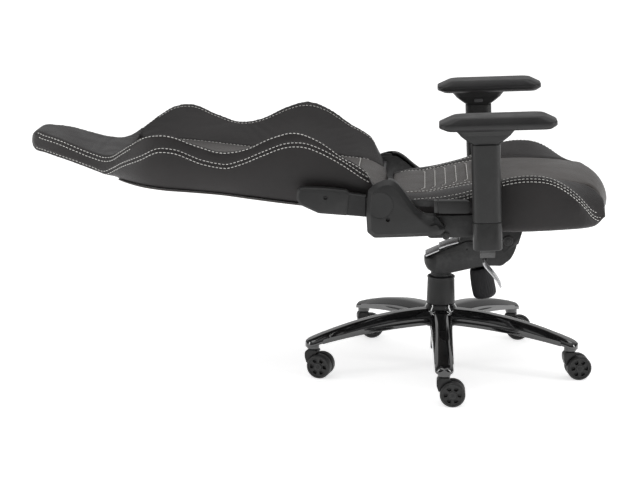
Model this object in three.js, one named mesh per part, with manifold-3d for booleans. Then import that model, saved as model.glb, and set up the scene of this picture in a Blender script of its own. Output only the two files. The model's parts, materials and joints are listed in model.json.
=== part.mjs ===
// Reclining gaming chair: five-star base on twin-wheel casters, gas lift, tilt mechanism,
// bucket seat, reclining racing back and adjustable armrests, with the back laid flat.
// Millimetres. +X is the way the sitter faces, +Y the sitter's left, +Z up.
// The origin is on the floor, under the middle of the chair's length.

import * as THREE from "three";
import { mergeVertices } from "three/addons/utils/BufferGeometryUtils.js";
import Module from "manifold-3d";

const wasm = await Module();
wasm.setup();

// ---------------------------------------------------------------- driving dimensions

const GAP = 0.3; // left between touching pieces
const FIT = 0.4; // clearance round a piece held in a pocket

const COLUMN_X = 300; // lift column, ahead of the middle of the reclined chair
const STAR_RADIUS = 330; // column axis to caster stem
const STAR_TURN = 1.2; // degrees that the star is turned about the column
const LEG_BOTTOM = 72; // height of the underside of a leg's end
const LEG_WALL = 4; // thickness of a leg's folded sheet
const HUB_BOTTOM = 106;
const HUB_TOP = 163;

const WHEEL_RADIUS = 30;
const WHEEL_SIDES = 20;
const CASTER_TRAIL = 20; // stem axis to axle
const CASTER_HEADINGS = [0, 8, -10, 10, -15]; // degrees, one per leg, from the right-hand side leg on

const TUBE_RADIUS = 24; // gas lift's outer tube
const PISTON_RADIUS = 14;
const SOCKET_TOP = 283; // end of the piston inside the mechanism
const HOUSING_BOTTOM = 250;

const TILT_PIVOT = [162, 332]; // X and Z of the seat's front pivot, from the column
const HOUSING_HALF = 34; // half the width of the tilt housing
const KNOB_TILT = 12; // degrees that the tension knob leans forward
const KNOB_TOP = [94, 258];

const RECLINE_AXIS = [-146, 468]; // X and Z of the recline axis, from the column
const SEAT_TILT = 2.2; // degrees, front edge up
const BACK_LEAN = 84.34; // degrees from upright, laid flat

const SEAT_BOTTOM = -83; // all seat heights are from the recline axis
const CENTRE_HALF = 150; // half the width of the flat middle of seat and back
const FRAME_BAR = 16; // width of a frame tube
const FRAME_DEEP = 14; // its thickness

const BACK_REAR = -34.7; // rear face of the back's foam, from the recline axis
const BACK_TOP = 628; // seam between back and headrest
const BRACKET_IN = 262.5; // inner face of the hinge brackets, from the middle

const ARM_X = 245; // armrest post, ahead of the recline axis
const ARM_Y = 315; // and out from the middle
const POST_LONG = 66;
const POST_WIDE = 44;
const POST_SEAM = -42; // where the sliding sleeve meets the fixed one
const POST_TOP = 139;
const NECK_TOP = 160;
const PAD_BOTTOM = 173;
const PAD_TOP = 204;

const rad = THREE.MathUtils.degToRad;
const SIDES = { left: 1, right: -1 };

// ---------------------------------------------------------------- materials

function finish(color, roughness, metalness) {
  return new THREE.MeshStandardMaterial({ color, roughness, metalness });
}

const GLOSS_BLACK = finish(0x0b0b0c, 0.12, 0.3);
const SATIN_STEEL = finish(0x1c1c1d, 0.4, 0.7);
const BARE_STEEL = finish(0x9a9b9d, 0.3, 0.9);
const PLASTIC = finish(0x2b2b2c, 0.6, 0);
const TREAD = finish(0x3a3a3b, 0.7, 0);
const PAD_SKIN = finish(0x3d3c3c, 0.5, 0);
const LEATHER = finish(0x2f2c2c, 0.5, 0);
const LEATHER_SIDE = finish(0x353232, 0.55, 0);

// ---------------------------------------------------------------- solids

// A three.js geometry as a closed solid, turned the right way out.
function toSolid(geometry) {
  const bare = geometry.clone();
  bare.deleteAttribute("normal");
  bare.deleteAttribute("uv");
  const merged = mergeVertices(bare, 1e-3);
  const index = [];
  for (let i = 0; i < merged.index.count; i += 3) {
    const [a, b, c] = merged.index.array.slice(i, i + 3);
    if (a !== b && b !== c && c !== a) index.push(a, b, c);
  }
  const vertProperties = new Float32Array(merged.attributes.position.array);
  const build = (list) =>
    new wasm.Manifold(new wasm.Mesh({ numProp: 3, vertProperties, triVerts: new Uint32Array(list) }));
  const solid = build(index);
  return solid.volume() > 0 ? solid : build(index.reverse());
}

function toGeometry(solid) {
  const mesh = solid.getMesh();
  const geometry = new THREE.BufferGeometry();
  geometry.setAttribute("position", new THREE.BufferAttribute(mesh.vertProperties, 3));
  geometry.setIndex(new THREE.BufferAttribute(mesh.triVerts, 1));
  geometry.computeVertexNormals();
  return geometry;
}

function join(...shapes) {
  return toGeometry(shapes.map(toSolid).reduce((whole, shape) => whole.add(shape)));
}

function cut(shape, ...tools) {
  return toGeometry(tools.map(toSolid).reduce((whole, tool) => whole.subtract(tool), toSolid(shape)));
}

// ---------------------------------------------------------------- basic shapes

function block([x0, x1], [y0, y1], [z0, z1]) {
  const box = new THREE.BoxGeometry(x1 - x0, y1 - y0, z1 - z0);
  return box.translate((x0 + x1) / 2, (y0 + y1) / 2, (z0 + z1) / 2);
}

// A round bar between two points.
function rod(radius, from, to, sides = 20) {
  const start = new THREE.Vector3(...from);
  const along = new THREE.Vector3(...to).sub(start);
  const bar = new THREE.CylinderGeometry(radius, radius, along.length(), sides);
  const turn = new THREE.Quaternion().setFromUnitVectors(
    new THREE.Vector3(0, 1, 0),
    along.clone().normalize(),
  );
  bar.applyQuaternion(turn);
  return bar.translate(...start.addScaledVector(along, 0.5).toArray());
}

// A turned body about Z from [radius, height] points, closed on the axis or on itself.
function turned(profile, sides = 24) {
  const points = profile.map(([r, z]) => new THREE.Vector2(r, z));
  return new THREE.LatheGeometry(points, sides).rotateX(Math.PI / 2);
}

function ring(inner, outer, bottom, top, sides = 24) {
  return turned([[inner, bottom], [outer, bottom], [outer, top], [inner, top], [inner, bottom]], sides);
}

function shapeOf(outline) {
  return new THREE.Shape(outline.map(([a, b]) => new THREE.Vector2(a, b)));
}

// A plate whose outline is drawn in X and Z, between two Y faces.
function slab(outline, [y0, y1]) {
  const plate = new THREE.ExtrudeGeometry(shapeOf(outline), { depth: y1 - y0, bevelEnabled: false });
  return plate.rotateX(Math.PI / 2).translate(0, y1, 0);
}

// A plate whose outline is drawn in Y and Z, between two X faces.
function crossSlab(outline, [x0, x1]) {
  const plate = new THREE.ExtrudeGeometry(shapeOf(outline), { depth: x1 - x0, bevelEnabled: false });
  const turn = new THREE.Matrix4().makeBasis(
    new THREE.Vector3(0, 1, 0),
    new THREE.Vector3(0, 0, 1),
    new THREE.Vector3(1, 0, 0),
  );
  return plate.applyMatrix4(turn).translate(x0, 0, 0);
}

// The outline of a flat bar of even thickness that follows a line of points.
function barOutline(line, thickness) {
  const points = line.map(([a, b]) => new THREE.Vector2(a, b));
  const offset = (side) =>
    points.map((point, i) => {
      const before = points[Math.max(i - 1, 0)];
      const after = points[Math.min(i + 1, points.length - 1)];
      const along = after.clone().sub(before).normalize();
      return [point.x - side * along.y * thickness / 2, point.y + side * along.x * thickness / 2];
    });
  return [...offset(1), ...offset(-1).reverse()];
}

// A rectangle with rounded corners, as points.
function roundRect([x0, x1], [y0, y1], radius, steps = 3) {
  const corners = [[x1, y1, 0], [x0, y1, 90], [x0, y0, 180], [x1, y0, 270]];
  return corners.flatMap(([x, y, start]) => {
    const cx = x + (x === x1 ? -radius : radius);
    const cy = y + (y === y1 ? -radius : radius);
    return Array.from({ length: steps + 1 }, (_, i) => {
      const angle = rad(start + (90 * i) / steps);
      return [cx + radius * Math.cos(angle), cy + radius * Math.sin(angle)];
    });
  });
}

function signedArea(points) {
  return points.reduce((sum, [a, b], i) => {
    const [c, d] = points[(i + 1) % points.length];
    return sum + a * d - c * b;
  }, 0);
}

// A closed body through one outline per station; place() puts an outline point in space.
function loft(stations, outline, place) {
  const rings = stations.map(outline);
  const count = rings[0].length;
  const position = rings.flatMap((points, i) => points.flatMap(([a, b]) => place(a, b, stations[i])));
  const index = [];
  for (let i = 0; i + 1 < rings.length; i++) {
    for (let j = 0; j < count; j++) {
      const p = i * count + j;
      const q = i * count + ((j + 1) % count);
      index.push(p, q, q + count, p, q + count, p + count);
    }
  }
  const cap = (points, base, forward) => {
    const way = Math.sign(signedArea(points)) * (forward ? 1 : -1);
    const flat = points.map(([a, b]) => new THREE.Vector2(a, b));
    for (const face of THREE.ShapeUtils.triangulateShape(flat, [])) {
      const same = Math.sign(signedArea(face.map((k) => points[k]))) === way;
      index.push(...(same ? face : [...face].reverse()).map((k) => base + k));
    }
  };
  cap(rings[0], 0, false);
  cap(rings.at(-1), (rings.length - 1) * count, true);
  const body = new THREE.BufferGeometry();
  body.setAttribute("position", new THREE.Float32BufferAttribute(position, 3));
  body.setIndex(index);
  return body;
}

// A smooth run of heights through [at, height] points.
function smooth(points) {
  const curve = new THREE.SplineCurve(points.map(([at, height]) => new THREE.Vector2(at, height)));
  const samples = curve.getPoints(points.length * 8);
  return (at) => {
    const next = samples.findIndex((sample) => sample.x >= at);
    if (next < 0) return samples.at(-1).y;
    if (next === 0) return samples[0].y;
    const [a, b] = [samples[next - 1], samples[next]];
    return a.y + ((b.y - a.y) * (at - a.x)) / (b.x - a.x);
  };
}

// Mirrors a Y span to the left (+1) or right (-1) side.
function span(side, inner, outer) {
  return side > 0 ? [inner, outer] : [-outer, -inner];
}

function add(group, name, geometry, material) {
  const mesh = new THREE.Mesh(join(geometry), material);
  mesh.name = name;
  group.add(mesh);
}

function newGroup(parent, x = 0, y = 0, z = 0) {
  const group = new THREE.Group();
  group.position.set(x, y, z);
  parent.add(group);
  return group;
}

const chair = new THREE.Group();
const column = newGroup(chair, COLUMN_X);

// ---------------------------------------------------------------- star base and casters

// One leg along +X: an arched steel channel, open below, with a flat top and sloping shoulders.
function starLeg() {
  const top = new THREE.QuadraticBezierCurve(
    new THREE.Vector2(30, 152), new THREE.Vector2(190, 152), new THREE.Vector2(348, 92));
  const bottom = new THREE.QuadraticBezierCurve(
    new THREE.Vector2(30, 114), new THREE.Vector2(220, 112), new THREE.Vector2(348, 76));
  const section = (t) => {
    const half = THREE.MathUtils.lerp(28, 22, t);
    const high = top.getPoint(t).y;
    const low = bottom.getPoint(t).y;
    const shoulder = THREE.MathUtils.lerp(high, low, 0.45);
    const outside = [[half, low], [half, shoulder], [half / 2, high]];
    const inside = [
      [half / 2 - LEG_WALL / 4, high - LEG_WALL],
      [half - LEG_WALL, shoulder - LEG_WALL / 2],
      [half - LEG_WALL, low],
    ];
    const flip = (points) => points.map(([y, z]) => [-y, z]).reverse();
    return [...outside, ...flip(outside), ...flip(inside), ...inside];
  };
  const stations = [0, 0.15, 0.3, 0.45, 0.6, 0.75, 0.9, 1];
  return loft(stations, section, (y, z, t) => [top.getPoint(t).x, y, z]);
}

function legAngle(leg) {
  return rad(STAR_TURN - 90 + 72 * leg);
}

function makeStarBase() {
  const pieces = [turned([
    [0, HUB_BOTTOM], [36, HUB_BOTTOM], [40, 114], [40, 148], [34, HUB_TOP], [0, HUB_TOP],
  ])];
  const sockets = [rod(TUBE_RADIUS + FIT, [0, 0, HUB_BOTTOM - 1], [0, 0, HUB_TOP + 1], 24)];
  for (let leg = 0; leg < 5; leg++) {
    const boss = rod(17, [STAR_RADIUS, 0, LEG_BOTTOM], [STAR_RADIUS, 0, 93], 16);
    const socket = rod(5.8, [STAR_RADIUS, 0, LEG_BOTTOM - 1], [STAR_RADIUS, 0, 88], 12);
    pieces.push(starLeg().rotateZ(legAngle(leg)), boss.rotateZ(legAngle(leg)));
    sockets.push(socket.rotateZ(legAngle(leg)));
  }
  add(column, "star_base", cut(join(...pieces), ...sockets), GLOSS_BLACK);
}

// Fork, hood, stem and axle of one caster. The stem is the group's Z axis.
function makeFork(group, name) {
  const hoodOutline = [
    [-18, 48], [-14, 36], [-11.6, 34], [-7.3, 46], [0, 54.4],
    [9.2, 59.8], [16, 61.5], [12, 69], [-12, 69], [-17, 62],
  ];
  const hood = slab(hoodOutline, [-14, 14]);
  const web = slab([[-11.6, 34], [2, 14], [20, 8], [38, 16], [40, 38], [16, 62], [-7, 62]], [-3.8, 3.8]);
  const collar = rod(11, [0, 0, 62], [0, 0, LEG_BOTTOM - GAP], 16);
  const stem = rod(5.4, [0, 0, 66], [0, 0, 86], 12);
  const axle = rod(4, [CASTER_TRAIL, -24.6, WHEEL_RADIUS], [CASTER_TRAIL, 24.6, WHEEL_RADIUS], WHEEL_SIDES);
  add(group, name, join(hood, web, collar, stem, axle), PLASTIC);
}

// One wheel about the axle, with a flat of its tread on the floor.
function makeWheel(group, name, side) {
  const full = WHEEL_RADIUS / Math.cos(Math.PI / WHEEL_SIDES);
  const profile = [
    [4.4, 4.8], [full - 1.5, 4.8], [full, 6.5], [full, 21.5], [full - 3, 24], [4.4, 24], [4.4, 4.8],
  ];
  const points = profile.map(([r, y]) => new THREE.Vector2(r, y * side));
  const wheel = new THREE.LatheGeometry(points, WHEEL_SIDES).rotateY(Math.PI / WHEEL_SIDES);
  add(group, name, wheel.translate(CASTER_TRAIL, 0, WHEEL_RADIUS), TREAD);
}

function makeCasters() {
  CASTER_HEADINGS.forEach((heading, leg) => {
    const angle = legAngle(leg);
    const caster = newGroup(column, STAR_RADIUS * Math.cos(angle), STAR_RADIUS * Math.sin(angle));
    caster.rotation.z = rad(heading);
    makeFork(caster, `caster_fork_${leg + 1}`);
    makeWheel(caster, `caster_wheel_${leg + 1}_left`, 1);
    makeWheel(caster, `caster_wheel_${leg + 1}_right`, -1);
  });
}

// ---------------------------------------------------------------- lift column

function makeColumn() {
  add(column, "gas_lift_tube", ring(PISTON_RADIUS + 0.6, TUBE_RADIUS, 46, 216), SATIN_STEEL);
  add(column, "gas_lift_piston", rod(PISTON_RADIUS, [0, 0, 60], [0, 0, SOCKET_TOP], 24), BARE_STEEL);
  add(column, "column_cover_lower", turned([
    [27.9, HUB_TOP + GAP], [34.5, HUB_TOP + GAP], [33, 232], [27.9, 232], [27.9, HUB_TOP + GAP],
  ]), PLASTIC);
  add(column, "column_cover_middle", ring(26.2, 27.5, 165.5, 231), PLASTIC);
  add(column, "column_cover_upper", ring(24.4, 25.8, 167.5, HOUSING_BOTTOM - GAP), PLASTIC);
}

// ---------------------------------------------------------------- tilt mechanism

function makeHousing() {
  const outline = [
    [-44, 288], [-37, 266], [-20, HOUSING_BOTTOM], [26, HOUSING_BOTTOM], [62, 259], [130, 274],
    [156, 300], [176, 318], [180, 336], [168, 348], [120, 345], [60, 335], [34, 328], [-4, 310], [-38, 299],
  ];
  const tray = [[44, 262], [62, 267], [124, 281], [140, 300], [140, 360], [44, 360]];
  const [px, pz] = TILT_PIVOT;
  const body = slab(outline, [-HOUSING_HALF, HOUSING_HALF]);
  const hollow = slab(tray, [4 - HOUSING_HALF, HOUSING_HALF - 4]);
  const socket = rod(PISTON_RADIUS + FIT, [0, 0, HOUSING_BOTTOM - 1], [0, 0, SOCKET_TOP + FIT], 24);
  const pinHole = rod(6 + FIT, [px, -70, pz], [px, 70, pz]);
  const leverHole = rod(4 + FIT, [103, -70, 300], [103, 0, 300]);
  const lockHole = rod(4 + FIT, [60, 0, 292], [60, 70, 292]);
  const studHole = knobAxis(rod(6 + FIT, [0, 0, -20], [0, 0, 40]));
  const shell = cut(body, hollow, socket, pinHole, leverHole, lockHole, studHole);
  add(column, "tilt_housing", shell, SATIN_STEEL);
}

// Stands a shape made round Z on the tension knob's leaning axis, with Z = 0 at the knob's top.
function knobAxis(shape) {
  return shape.rotateY(rad(-KNOB_TILT)).translate(KNOB_TOP[0], 0, KNOB_TOP[1]);
}

function makeTensionKnob() {
  const grip = turned([[0, -82], [18, -82], [26, -77], [29.5, -68], [29.5, -45], [26, -8], [20, -4], [0, -4]]);
  const stud = rod(6, [0, 0, -10], [0, 0, 34], 12);
  add(column, "tension_knob", knobAxis(join(grip, stud)), PLASTIC);
}

// The tilt spring coils round the knob's stud inside the housing.
function makeTensionSpring() {
  class Coil extends THREE.Curve {
    getPoint(t) {
      const angle = t * 4 * 2 * Math.PI;
      return new THREE.Vector3(14 * Math.cos(angle), 14 * Math.sin(angle), 24 + 44 * t);
    }
  }
  const wire = new THREE.Shape().absarc(0, 0, 2.5, 0, 2 * Math.PI);
  const spring = new THREE.ExtrudeGeometry(wire, { extrudePath: new Coil(), steps: 56, curveSegments: 3 });
  add(column, "tension_spring", knobAxis(spring), BARE_STEEL);
}

// A mechanism lever: a rod out of the housing with a flat paddle on its end.
function makeLever(name, side, [x, z], paddleLine, color) {
  const bar = rod(4, [x, side * 20, z], [x, side * 128, z], 12);
  const paddle = slab(barOutline([[x - 4, z + 3], ...paddleLine], 5), span(side, 124, 186));
  add(column, name, join(bar, paddle), color);
}

// ---------------------------------------------------------------- seat

const seat = newGroup(column, RECLINE_AXIS[0], 0, RECLINE_AXIS[1]);
seat.rotation.y = rad(-SEAT_TILT);

// Heights and half-widths along the seat, from the recline axis.
const seatCrest = smooth([
  [20, -18], [88, -6], [142, 0], [220, 19], [284, 45], [340, 53],
  [400, 43], [461, -3], [500, -50], [526, -66],
]);
const seatHalf = smooth([
  [20, 204], [88, 221], [142, 236], [220, 252], [300, 272],
  [357, 275], [426, 266], [485, 246], [526, 205],
]);
const seatMiddle = smooth([
  [20, -8], [45, -1], [103, 2], [203, 20], [300, 27], [394, 24], [460, 16], [500, 4], [526, -22],
]);

// The seat frame's tubes as boxes, grown all round by a clearance, and downwards by a depth.
function seatFrameBars(grow = 0, depth = 0) {
  const high = [SEAT_BOTTOM - depth, SEAT_BOTTOM + FRAME_DEEP + grow];
  const bar = (x, y, long, wide) =>
    block([x - grow, x + long + grow], [y - grow, y + wide + grow], high);
  const across = (x, half) => bar(x, -half, FRAME_BAR, 2 * half);
  return [
    across(60, BRACKET_IN - GAP - grow),
    across(ARM_X - 30, 200),
    across(ARM_X + 22, 200),
    across(424, 200),
    bar(60, -200, 380, FRAME_BAR),
    bar(60, 200 - FRAME_BAR, 380, FRAME_BAR),
  ];
}

function makeSeatFrame() {
  add(seat, "seat_frame", join(...seatFrameBars()), SATIN_STEEL);
  const [px, pz] = tiltPivotOnSeat();
  const under = SEAT_BOTTOM - GAP;
  const plate = block([150, 338], [-78, 78], [under - 4, under]);
  const ear = [[338, under], [338, -127], [328, -158], [292, -180], [276, -166], [262, -130], [240, under]];
  const pinHalf = HOUSING_HALF + 6;
  const pin = rod(6, [px, -pinHalf, pz], [px, pinHalf, pz]);
  const ears = [1, -1].map((side) => slab(ear, span(side, HOUSING_HALF + 0.5, HOUSING_HALF + 4.5)));
  add(seat, "seat_plate", join(plate, ...ears, pin), SATIN_STEEL);
}

// The front tilt pivot in the seat's own frame.
function tiltPivotOnSeat() {
  const dx = TILT_PIVOT[0] - RECLINE_AXIS[0];
  const dz = TILT_PIVOT[1] - RECLINE_AXIS[1];
  const [c, s] = [Math.cos(rad(SEAT_TILT)), Math.sin(rad(SEAT_TILT))];
  return [dx * c + dz * s, dz * c - dx * s];
}

// The middle of the seat: flat on top, rolling down over the front edge, which bows forward.
function makeSeatCushion() {
  const edge = CENTRE_HALF - GAP / 2;
  const profile = (y) => {
    const bow = 20 * (1 - (y / edge) ** 2);
    const crown = 3 * (1 - (y / edge) ** 2);
    const top = [20, 45, 103, 203, 300, 394, 460].map((x) => [x, seatMiddle(x) + crown]);
    const roll = [[492, 12], [514, -8], [526, -36], [528, -62]].map(([x, z]) => [x + bow, z]);
    return [[32, SEAT_BOTTOM], ...top, ...roll, [522 + bow, SEAT_BOTTOM]];
  };
  const body = loft([-edge, -100, -50, 0, 50, 100, edge], profile, (x, z, y) => [x, y, z]);
  add(seat, "seat_cushion", cut(body, ...seatFrameBars(FIT, 5)), LEATHER);
}

function makeSeatBolster(name, side) {
  const inner = CENTRE_HALF + GAP / 2;
  const section = (x) => {
    const crest = seatCrest(x);
    const half = seatHalf(x);
    const middle = seatMiddle(x);
    return [
      [inner, SEAT_BOTTOM],
      [inner, middle],
      [(inner + half) / 2, (middle + crest) / 2 + 3],
      [half - 16, crest],
      [half, crest - 9],
      [half, (crest - 9 + SEAT_BOTTOM) / 2],
      [half - 12, SEAT_BOTTOM],
    ];
  };
  const stations = [20, 45, 88, 142, 190, 235, 284, 320, 357, 400, 430, 461, 485, 508, 526];
  const body = loft(stations, section, (y, z, x) => [x, side * y, z]);
  add(seat, name, cut(body, ...seatFrameBars(FIT, 5)), LEATHER_SIDE);
}

// ---------------------------------------------------------------- recline hinges

const HINGE_OUTLINE = [
  [-27, 33], [-33, -22], [-32, -66], [-16, -80], [44, -80], [113, -79], [144, -75],
  [149, -66], [126, -31], [106, -29], [97, -26], [86, -16], [76, -3], [64, 15],
  [55, 29], [47, 40], [36, 51], [26, 56], [10, 56], [-8, 49],
];
const HINGE_POCKET = [
  [-26, 26], [-28, -62], [-14, -75], [112, -74], [138, -69], [121, -36], [104, -34],
  [93, -31], [81, -20], [71, -5], [51, 25], [32, 47], [10, 51], [-8, 43],
];
const ARM_OUTLINE = [
  [10, 194], [-11, 194], [-24, 184], [-39, 140], [-36, 30],
  [13, 34], [15, 71], [21, 80], [21, 135], [17, 186],
];
const ARM_POCKET = [
  [5, 189], [-9, 189], [-20, 180], [-34, 138], [-32, 20], [9, 20], [11, 75], [16, 84], [16, 134], [12, 182],
];

// The left hinge has no recline works in it, so its arch is lower.
function hingeShape(outline, side) {
  const shoulder = -20;
  const lower = (z) => (z > shoulder ? shoulder + 0.6 * (z - shoulder) : z);
  return side < 0 ? outline : outline.map(([x, z]) => [x, lower(z)]);
}

// The fixed half of a hinge: a steel plate on the seat frame with the pin that the back turns on.
function makeHingeBracket(name, side) {
  const top = side < 0 ? 26 : 16;
  const outline = [
    [-14, -70], [104, -70], [112, -60], [96, -38], [78, -24],
    [54, -2], [30, top], [-10, top], [-24, 10], [-24, -58],
  ];
  const plate = slab(outline, span(side, BRACKET_IN, BRACKET_IN + 5));
  const pin = rod(12, [0, side * (BRACKET_IN + 2), 0], [0, side * 282, 0], 24);
  add(seat, name, join(plate, pin), SATIN_STEEL);
}

// The plastic casing round the fixed half, open where the back's arm swings.
function makeHingeCover(name, side) {
  const casing = slab(hingeShape(HINGE_OUTLINE, side), span(side, BRACKET_IN, 297));
  const pocket = slab(hingeShape(HINGE_POCKET, side), span(side, BRACKET_IN - 2, 284));
  const swing = block([-80, 20], span(side, BRACKET_IN - 2, 284), [-43, 90]);
  const screw = rod(3.5, [17, side * 292, -36], [17, side * 300, -36], 12);
  add(seat, name, cut(casing, pocket, swing, screw), PLASTIC);
}

// Recline lever beside the seat on the sitter's right, on a shaft that joins both hinges.
function makeRecline() {
  const shaftHalf = BRACKET_IN - GAP;
  add(seat, "recliner_shaft", rod(5, [0, -shaftHalf, 0], [0, shaftHalf, 0], 16), BARE_STEEL);
  const arm = slab([[-9, -7], [-6, 9], [112, 1], [128, 1], [128, -15], [106, -15]], [-261, -257.5]);
  const grip = slab([[124, -27], [204, -29], [209, -22], [209, -8], [204, 1], [124, 3]], [-284, -259]);
  const eye = rod(5 + FIT, [0, -270, 0], [0, -250, 0], 16);
  add(seat, "recline_lever", cut(join(arm, grip), eye), PLASTIC);
}

// ---------------------------------------------------------------- back

// Local axes of the back: X out of its front, Z up along it, from the recline axis.
const back = newGroup(column, RECLINE_AXIS[0], 0, RECLINE_AXIS[1]);
back.rotation.y = rad(-BACK_LEAN);

// The winged outline: how far forward and how far out the wings reach at each height.
const wingCrest = smooth([
  [-14, 4], [22, 50], [104, 98], [160, 128], [217, 139], [264, 121], [330, 82], [380, 68], [440, 79],
  [515, 96], [562, 86], [600, 60], [630, 36],
]);
const wingHalf = smooth([
  [-14, 244], [22, 250], [104, 256], [217, 256], [300, 248], [372, 238], [440, 245], [515, 256],
  [560, 246], [600, 218], [630, 184],
]);
const backMiddle = smooth([
  [-14, 8], [22, 24], [100, 28], [200, 34], [330, 28], [500, 28], [600, 22], [630, 18],
]);

// The back frame's tubes as boxes, grown all round by a clearance, and rearwards by a depth.
function backFrameBars(grow = 0, depth = 0) {
  const rear = BACK_REAR + FIT;
  const deep = [rear - depth, rear + FRAME_DEEP + grow];
  const bar = (y, z, wide, tall, thick = deep) =>
    block(thick, [y - grow, y + wide + grow], [z - grow, z + tall + grow]);
  const rail = (y) => bar(y, 30, FRAME_BAR, 580);
  const across = (z, half) => bar(-half, z, 2 * half, FRAME_BAR);
  const lug = (y) => bar(y, 594, 12, FRAME_BAR, [rear - depth, -4 + grow]);
  const headRod = (y) => bar(y, 600, 12, 100, [-12 - grow, -4 + grow]);
  return [
    rail(118), rail(-134), across(62, 269), across(118, 269), across(380, 134), across(594, 134),
    lug(60), lug(-72), headRod(60), headRod(-72),
  ];
}

function makeBackFrame() {
  const arm = [[3, 176], [-14, 168], [-26, 130], [-26, 8], [-22, -14], [0, -26], [22, -14], [24, 4], [6, 26]];
  const arms = [1, -1].map((side) => slab(arm, span(side, 268.5, 273.5)));
  const pinHole = rod(12 + FIT, [0, -280, 0], [0, 280, 0], 24);
  add(back, "back_frame", cut(join(...backFrameBars(), ...arms), pinHole), SATIN_STEEL);
}

// The slanted lower end of the back, cut off parallel to the seat when upright.
function belowBack() {
  return slab([[-60, -60], [90, -60], [90, 60], [60, 38], [-14, -13], [-60, -13]], [-300, 300]);
}

function shaftTunnel() {
  return rod(8, [0, -300, 0], [0, 300, 0], 16);
}

function makeBackCushion() {
  const edge = CENTRE_HALF - GAP / 2;
  const profile = (y) => {
    const crown = 4 * (1 - (y / edge) ** 2);
    const front = [-14, 22, 100, 200, 330, 500, 600, BACK_TOP].map((z) => [backMiddle(z) + crown, z]);
    return [[BACK_REAR, -14], ...front, [BACK_REAR, BACK_TOP]];
  };
  const body = loft([-edge, -75, 0, 75, edge], profile, (x, z, y) => [x, y, z]);
  add(back, "back_cushion", cut(body, belowBack(), shaftTunnel(), ...backFrameBars(FIT, 5)), LEATHER);
}

function makeBackWing(name, side) {
  const inner = CENTRE_HALF + GAP / 2;
  const section = (z) => {
    const crest = wingCrest(z);
    const half = wingHalf(z);
    const middle = Math.min(backMiddle(z), crest - 2);
    return [
      [BACK_REAR, inner],
      [middle, inner],
      [(middle + crest) / 2 - 4, (inner + half) / 2],
      [crest, half - 15],
      [crest - 5, half - 6],
      [crest - 26, half],
      [BACK_REAR + 14, half - 12],
      [BACK_REAR, half - 30],
    ];
  };
  const stations = [
    -14, 22, 60, 104, 150, 190, 230, 264, 300, 340, 380, 430, 475, 515, 550, 580, 605, BACK_TOP,
  ];
  const body = loft(stations, section, (x, y, z) => [x, side * y, z]);
  add(back, name, cut(body, belowBack(), shaftTunnel(), ...backFrameBars(FIT, 5)), LEATHER_SIDE);
}

function makeBackPanel() {
  const stations = [-13, 22, 104, 217, 300, 372, 440, 515, 560, 600, BACK_TOP];
  const half = stations.map((z) => [wingHalf(z) - 38, z]);
  const outline = [...half, ...half.map(([y, z]) => [-y, z]).reverse()];
  add(back, "back_panel", crossSlab(outline, [BACK_REAR - GAP - 4, BACK_REAR - GAP]), LEATHER_SIDE);
}

// The headrest narrows and bends forward from the neck to the crown.
function makeHeadrest() {
  const rear = smooth([
    [628, -34], [662, -33], [700, -28], [745, -20], [795, -12], [828, -8], [850, -7], [863, 4],
  ]);
  const edge = smooth([
    [628, 38], [645, 27], [662, 19], [700, 19], [745, 28], [795, 39], [828, 43], [850, 43], [863, 28],
  ]);
  const middle = smooth([
    [628, 20], [662, 17], [700, 19], [745, 27], [795, 38], [828, 43], [850, 43], [863, 28],
  ]);
  const half = smooth([
    [628, 186], [645, 163], [662, 147], [700, 126], [745, 110], [795, 94], [828, 78], [850, 62], [863, 34],
  ]);
  const section = (z) => {
    const [r, e, m, h] = [rear(z), edge(z), middle(z), half(z)];
    const side = [[r, h - 12], [r + 8, h], [e - 9, h], [e, h - 9], [m, 0.6 * h]];
    return [...side, ...side.map(([x, y]) => [x, -y]).reverse()];
  };
  const stations = [BACK_TOP + GAP, 645, 662, 680, 700, 722, 745, 770, 795, 812, 828, 840, 850, 858, 863];
  const body = loft(stations, section, (x, y, z) => [x, y, z]);
  add(back, "headrest", cut(body, ...backFrameBars(FIT)), LEATHER);
}

function makeArmCover(name, side) {
  const casing = slab(ARM_OUTLINE, span(side, 258, 283));
  const pocket = slab(ARM_POCKET, span(side, 256, 279));
  const screw = rod(3.5, [-9, side * 280, 150], [-9, side * 290, 150], 12);
  add(back, name, cut(casing, pocket, screw, ...backFrameBars(FIT)), PLASTIC);
}

// ---------------------------------------------------------------- armrests

// Armrest pieces are made round the post's axis and then moved out to their side.
function armPiece(name, side, shape, material) {
  add(seat, name, shape.translate(ARM_X, side * ARM_Y, 0), material);
}

function armCore(grow = 0) {
  return block([-17 - grow, 17 + grow], [-9 - grow, 9 + grow], [-112, 60 + grow]);
}

// A steel bar from under the seat that turns up into the core of the post.
function makeArmBracket(name, side) {
  const line = [
    [-190, -88], [-110, -88], [-85, -94], [-52, -120], [-30, -129], [-12, -126], [-2, -114], [0, -96],
  ];
  const bar = crossSlab(barOutline(line, 9).map(([y, z]) => [side * y, z]), [-17, 17]);
  armPiece(name, side, join(bar, armCore()), SATIN_STEEL);
}

function postSection(halfLong, radius = 13) {
  return roundRect([-halfLong, halfLong], [-POST_WIDE / 2, POST_WIDE / 2], radius, 4);
}

function makeLowerSleeve(name, side) {
  const bottom = -107;
  const body = loft([bottom, POST_SEAM], () => postSection(POST_LONG / 2 + 0.5), (x, y, z) => [x, y, z]);
  armPiece(name, side, cut(body, armCore(FIT)), PLASTIC);
}

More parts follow.
